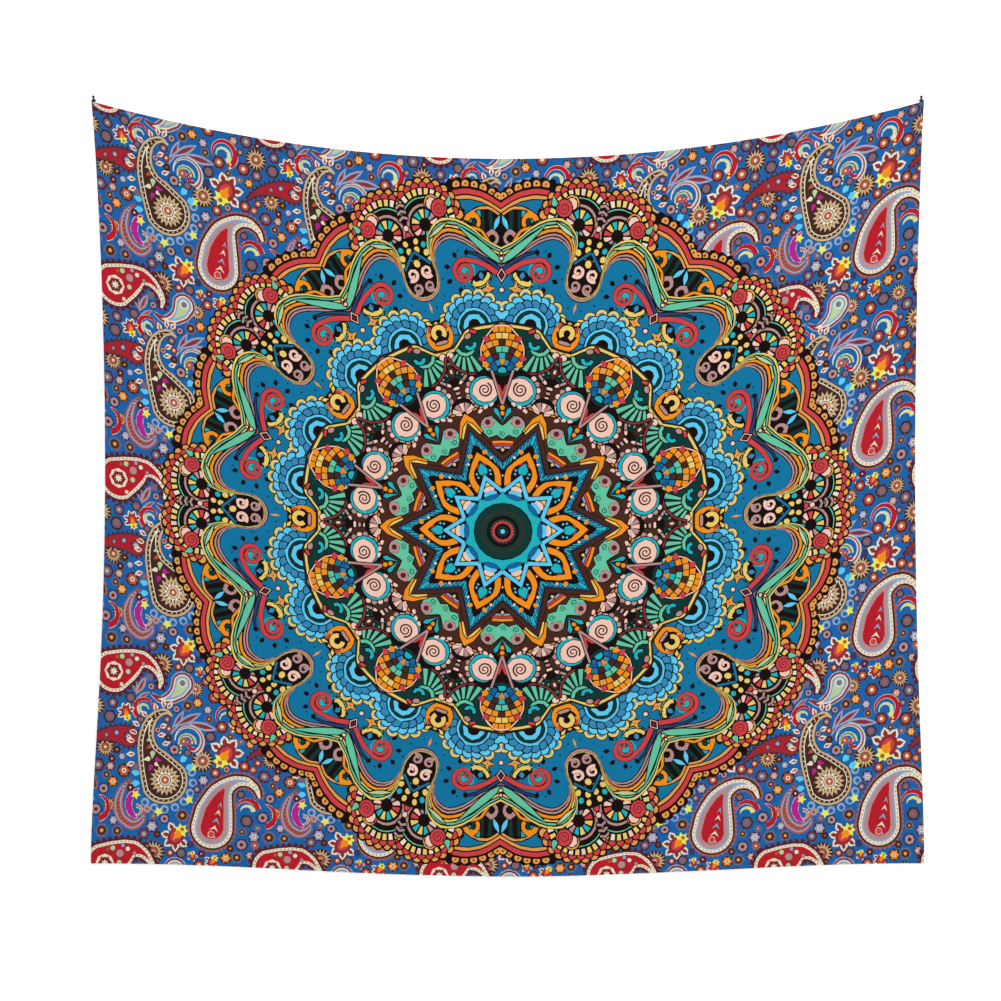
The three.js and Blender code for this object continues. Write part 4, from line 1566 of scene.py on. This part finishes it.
def cloth_material(name, depth):
    """Polyester: a fine plain weave, dye a little uneven, dull with a faint sheen."""
    thread_turns = 2 * np.pi / THREAD_PITCH
    shader = Shader(name)
    ink = shader.node("ShaderNodeAttribute", {"attribute_name": "print"}).outputs["Color"]
    flat = shader.node("ShaderNodeUVMap", {"uv_map": "weave"}).outputs[0]
    parts = shader.node("ShaderNodeSeparateXYZ", None, Vector=flat)
    warp = (Value(shader, parts.outputs[0]) * thread_turns).maths("SINE")
    weft = (Value(shader, parts.outputs[1]) * thread_turns).maths("SINE")
    weave = warp * weft
    slub = shader.noise(flat, 260.0, 3.0)
    dye = shader.noise(flat, 16.0, 4.0)
    crease = shader.noise(flat, 7.0, 2.0)
    tone = (slub - 0.5) * 0.16 + (dye - 0.5) * 0.12 + weave * 0.02 + depth
    colour = shader.shaded(ink, tone)
    height = weave * 0.12 + (slub - 0.5) * 0.5 + (crease - 0.5) * 14.0
    shader.bump(height, 0.0002, 0.8)
    roughness = (slub - 0.5) * 0.2 + 0.84
    dull = {"Sheen_Weight": 0.02, "Sheen_Roughness": 0.5, "Specular_IOR_Level": 0.06}
    return shader.finish(Base_Color=colour, Roughness=roughness, **dull)


def thread_material():
    """Polyester thread: a fine fuzz, a slowly changing tint and a soft shine."""
    shader = Shader("navy_thread")
    place = shader.node("ShaderNodeTexCoord").outputs["Object"]
    fuzz = shader.noise(place, 1500.0, 2.0)
    tint = shader.noise(place, 40.0, 2.0)
    colour = shader.shaded((0.02, 0.045, 0.11, 1), (fuzz - 0.5) * 0.7 + (tint - 0.5) * 0.3 + 1.0)
    shader.bump(fuzz, 0.0001, 0.6)
    return shader.finish(Base_Color=colour, Roughness=(fuzz - 0.5) * 0.3 + 0.55, Sheen_Weight=0.2)


def plastic_material():
    """Moulded black plastic: glossy, a little uneven, with faint rubbed patches."""
    shader = Shader("black_plastic")
    place = shader.node("ShaderNodeTexCoord").outputs["Object"]
    grain_noise = shader.noise(place, 900.0, 3.0)
    rub = shader.noise(place, 220.0, 3.0)
    colour = shader.shaded((0.008, 0.008, 0.009, 1), (rub - 0.5) * 0.8 + 1.0)
    shader.bump(grain_noise, 0.00003, 0.5)
    return shader.finish(Base_Color=colour, Roughness=(rub - 0.5) * 0.25 + 0.32, Specular_IOR_Level=0.3)


def steel_material():
    """Drawn steel wire: bright, with fine marks and a slightly uneven gloss."""
    shader = Shader("needle_steel")
    place = shader.node("ShaderNodeTexCoord").outputs["Object"]
    marks = shader.noise(place, 2500.0, 2.0)
    colour = shader.shaded((0.62, 0.62, 0.64, 1), (marks - 0.5) * 0.3 + 1.0)
    shader.bump(marks, 0.00002, 0.5)
    return shader.finish(Base_Color=colour, Roughness=(marks - 0.5) * 0.2 + 0.28, Metallic=1.0)


printed_cloth = cloth_material("printed_polyester", 0.8)
hem_cloth = cloth_material("hem_polyester", 0.77)
thread_finish, plastic, steel = thread_material(), plastic_material(), steel_material()
finishes = {panel: printed_cloth}
finishes.update({hem: hem_cloth for hem in hems})
finishes.update({row: thread_finish for row in threads})
finishes.update({bpy.data.objects[name + "_needle"]: steel for name in ("left", "right")})
finishes.update({bpy.data.objects[name + "_grip"]: plastic for name in ("left", "right")})
for piece, finish in finishes.items():
    piece.data.materials.append(finish)
print("finishes:", len(set(finishes.values())))

# %% [markdown]
# ## The stage
# A white wall just behind the cloth, a pale floor well below it, and plain soft light from the
# front with a weaker one from the upper right, which draws a soft shadow beside the pins. The
# wall is seen only from its front and throws no shadow, so the cloth's back can be looked at.

# %% The stage
def flat_plate(name, corners):
    """One quad."""
    mesh = bpy.data.meshes.new(name)
    mesh.from_pydata(corners, [], [(0, 1, 2, 3)])
    plate = bpy.data.objects.new(name, mesh)
    bpy.context.scene.collection.objects.link(plate)
    return plate


GAP, FLOOR = 0.0008, -1.95
wall = flat_plate("wall", [(-5, GAP, FLOOR), (5, GAP, FLOOR), (5, GAP, 3), (-5, GAP, 3)])
floor = flat_plate("floor", [(-8, -8, FLOOR), (8, -8, FLOOR), (8, 8, FLOOR), (-8, 8, FLOOR)])
for ray in ("diffuse", "glossy", "transmission", "shadow"):
    setattr(wall, "visible_" + ray, False)

wall_paint = Shader("wall_paint")
front_only = wall_paint.node("ShaderNodeNewGeometry").outputs["Backfacing"]
see_through = wall_paint.node("ShaderNodeBsdfTransparent")
chosen = wall_paint.node("ShaderNodeMixShader", None, Fac=front_only)
wall_paint.links.new(wall_paint.surface.outputs[0], chosen.inputs[1])
wall_paint.links.new(see_through.outputs[0], chosen.inputs[2])
wall_paint.links.new(chosen.outputs[0], wall_paint.nodes["Material Output"].inputs[0])
wall_paint.finish(
    Base_Color=(0.93, 0.93, 0.93, 1), Roughness=0.9, Emission_Color=(1, 1, 1, 1), Emission_Strength=0.25
)
wall.data.materials.append(wall_paint.material)
floor_paint = Shader("floor_paint")
floor.data.materials.append(floor_paint.finish(Base_Color=(0.82, 0.82, 0.81, 1), Roughness=0.8))


def area_light(name, place, aim, size, power):
    """A square soft light that looks from place towards aim."""
    light = bpy.data.lights.new(name, "AREA")
    light.energy, light.size = power, size
    lamp = bpy.data.objects.new(name, light)
    lamp.location = place
    lamp.rotation_euler = (Vector(aim) - Vector(place)).to_track_quat("-Z", "Y").to_euler()
    bpy.context.scene.collection.objects.link(lamp)
    return lamp


area_light("front_light", (0.3, -4.5, 0.4), (0, 0, -0.7), 3.5, 135)
area_light("side_light", (2.6, -2.0, 2.2), (0, 0, -0.6), 1.2, 42)
area_light("back_light", (-1.5, 4.0, 0.5), (0, 0, -0.7), 3.0, 70)
world = bpy.data.worlds.new("studio")
world.use_nodes = True
world.node_tree.nodes["Background"].inputs[0].default_value = (0.95, 0.97, 1.0, 1)
world.node_tree.nodes["Background"].inputs[1].default_value = 0.5
bpy.context.scene.world = world
bpy.context.scene.view_settings.view_transform = "Standard"
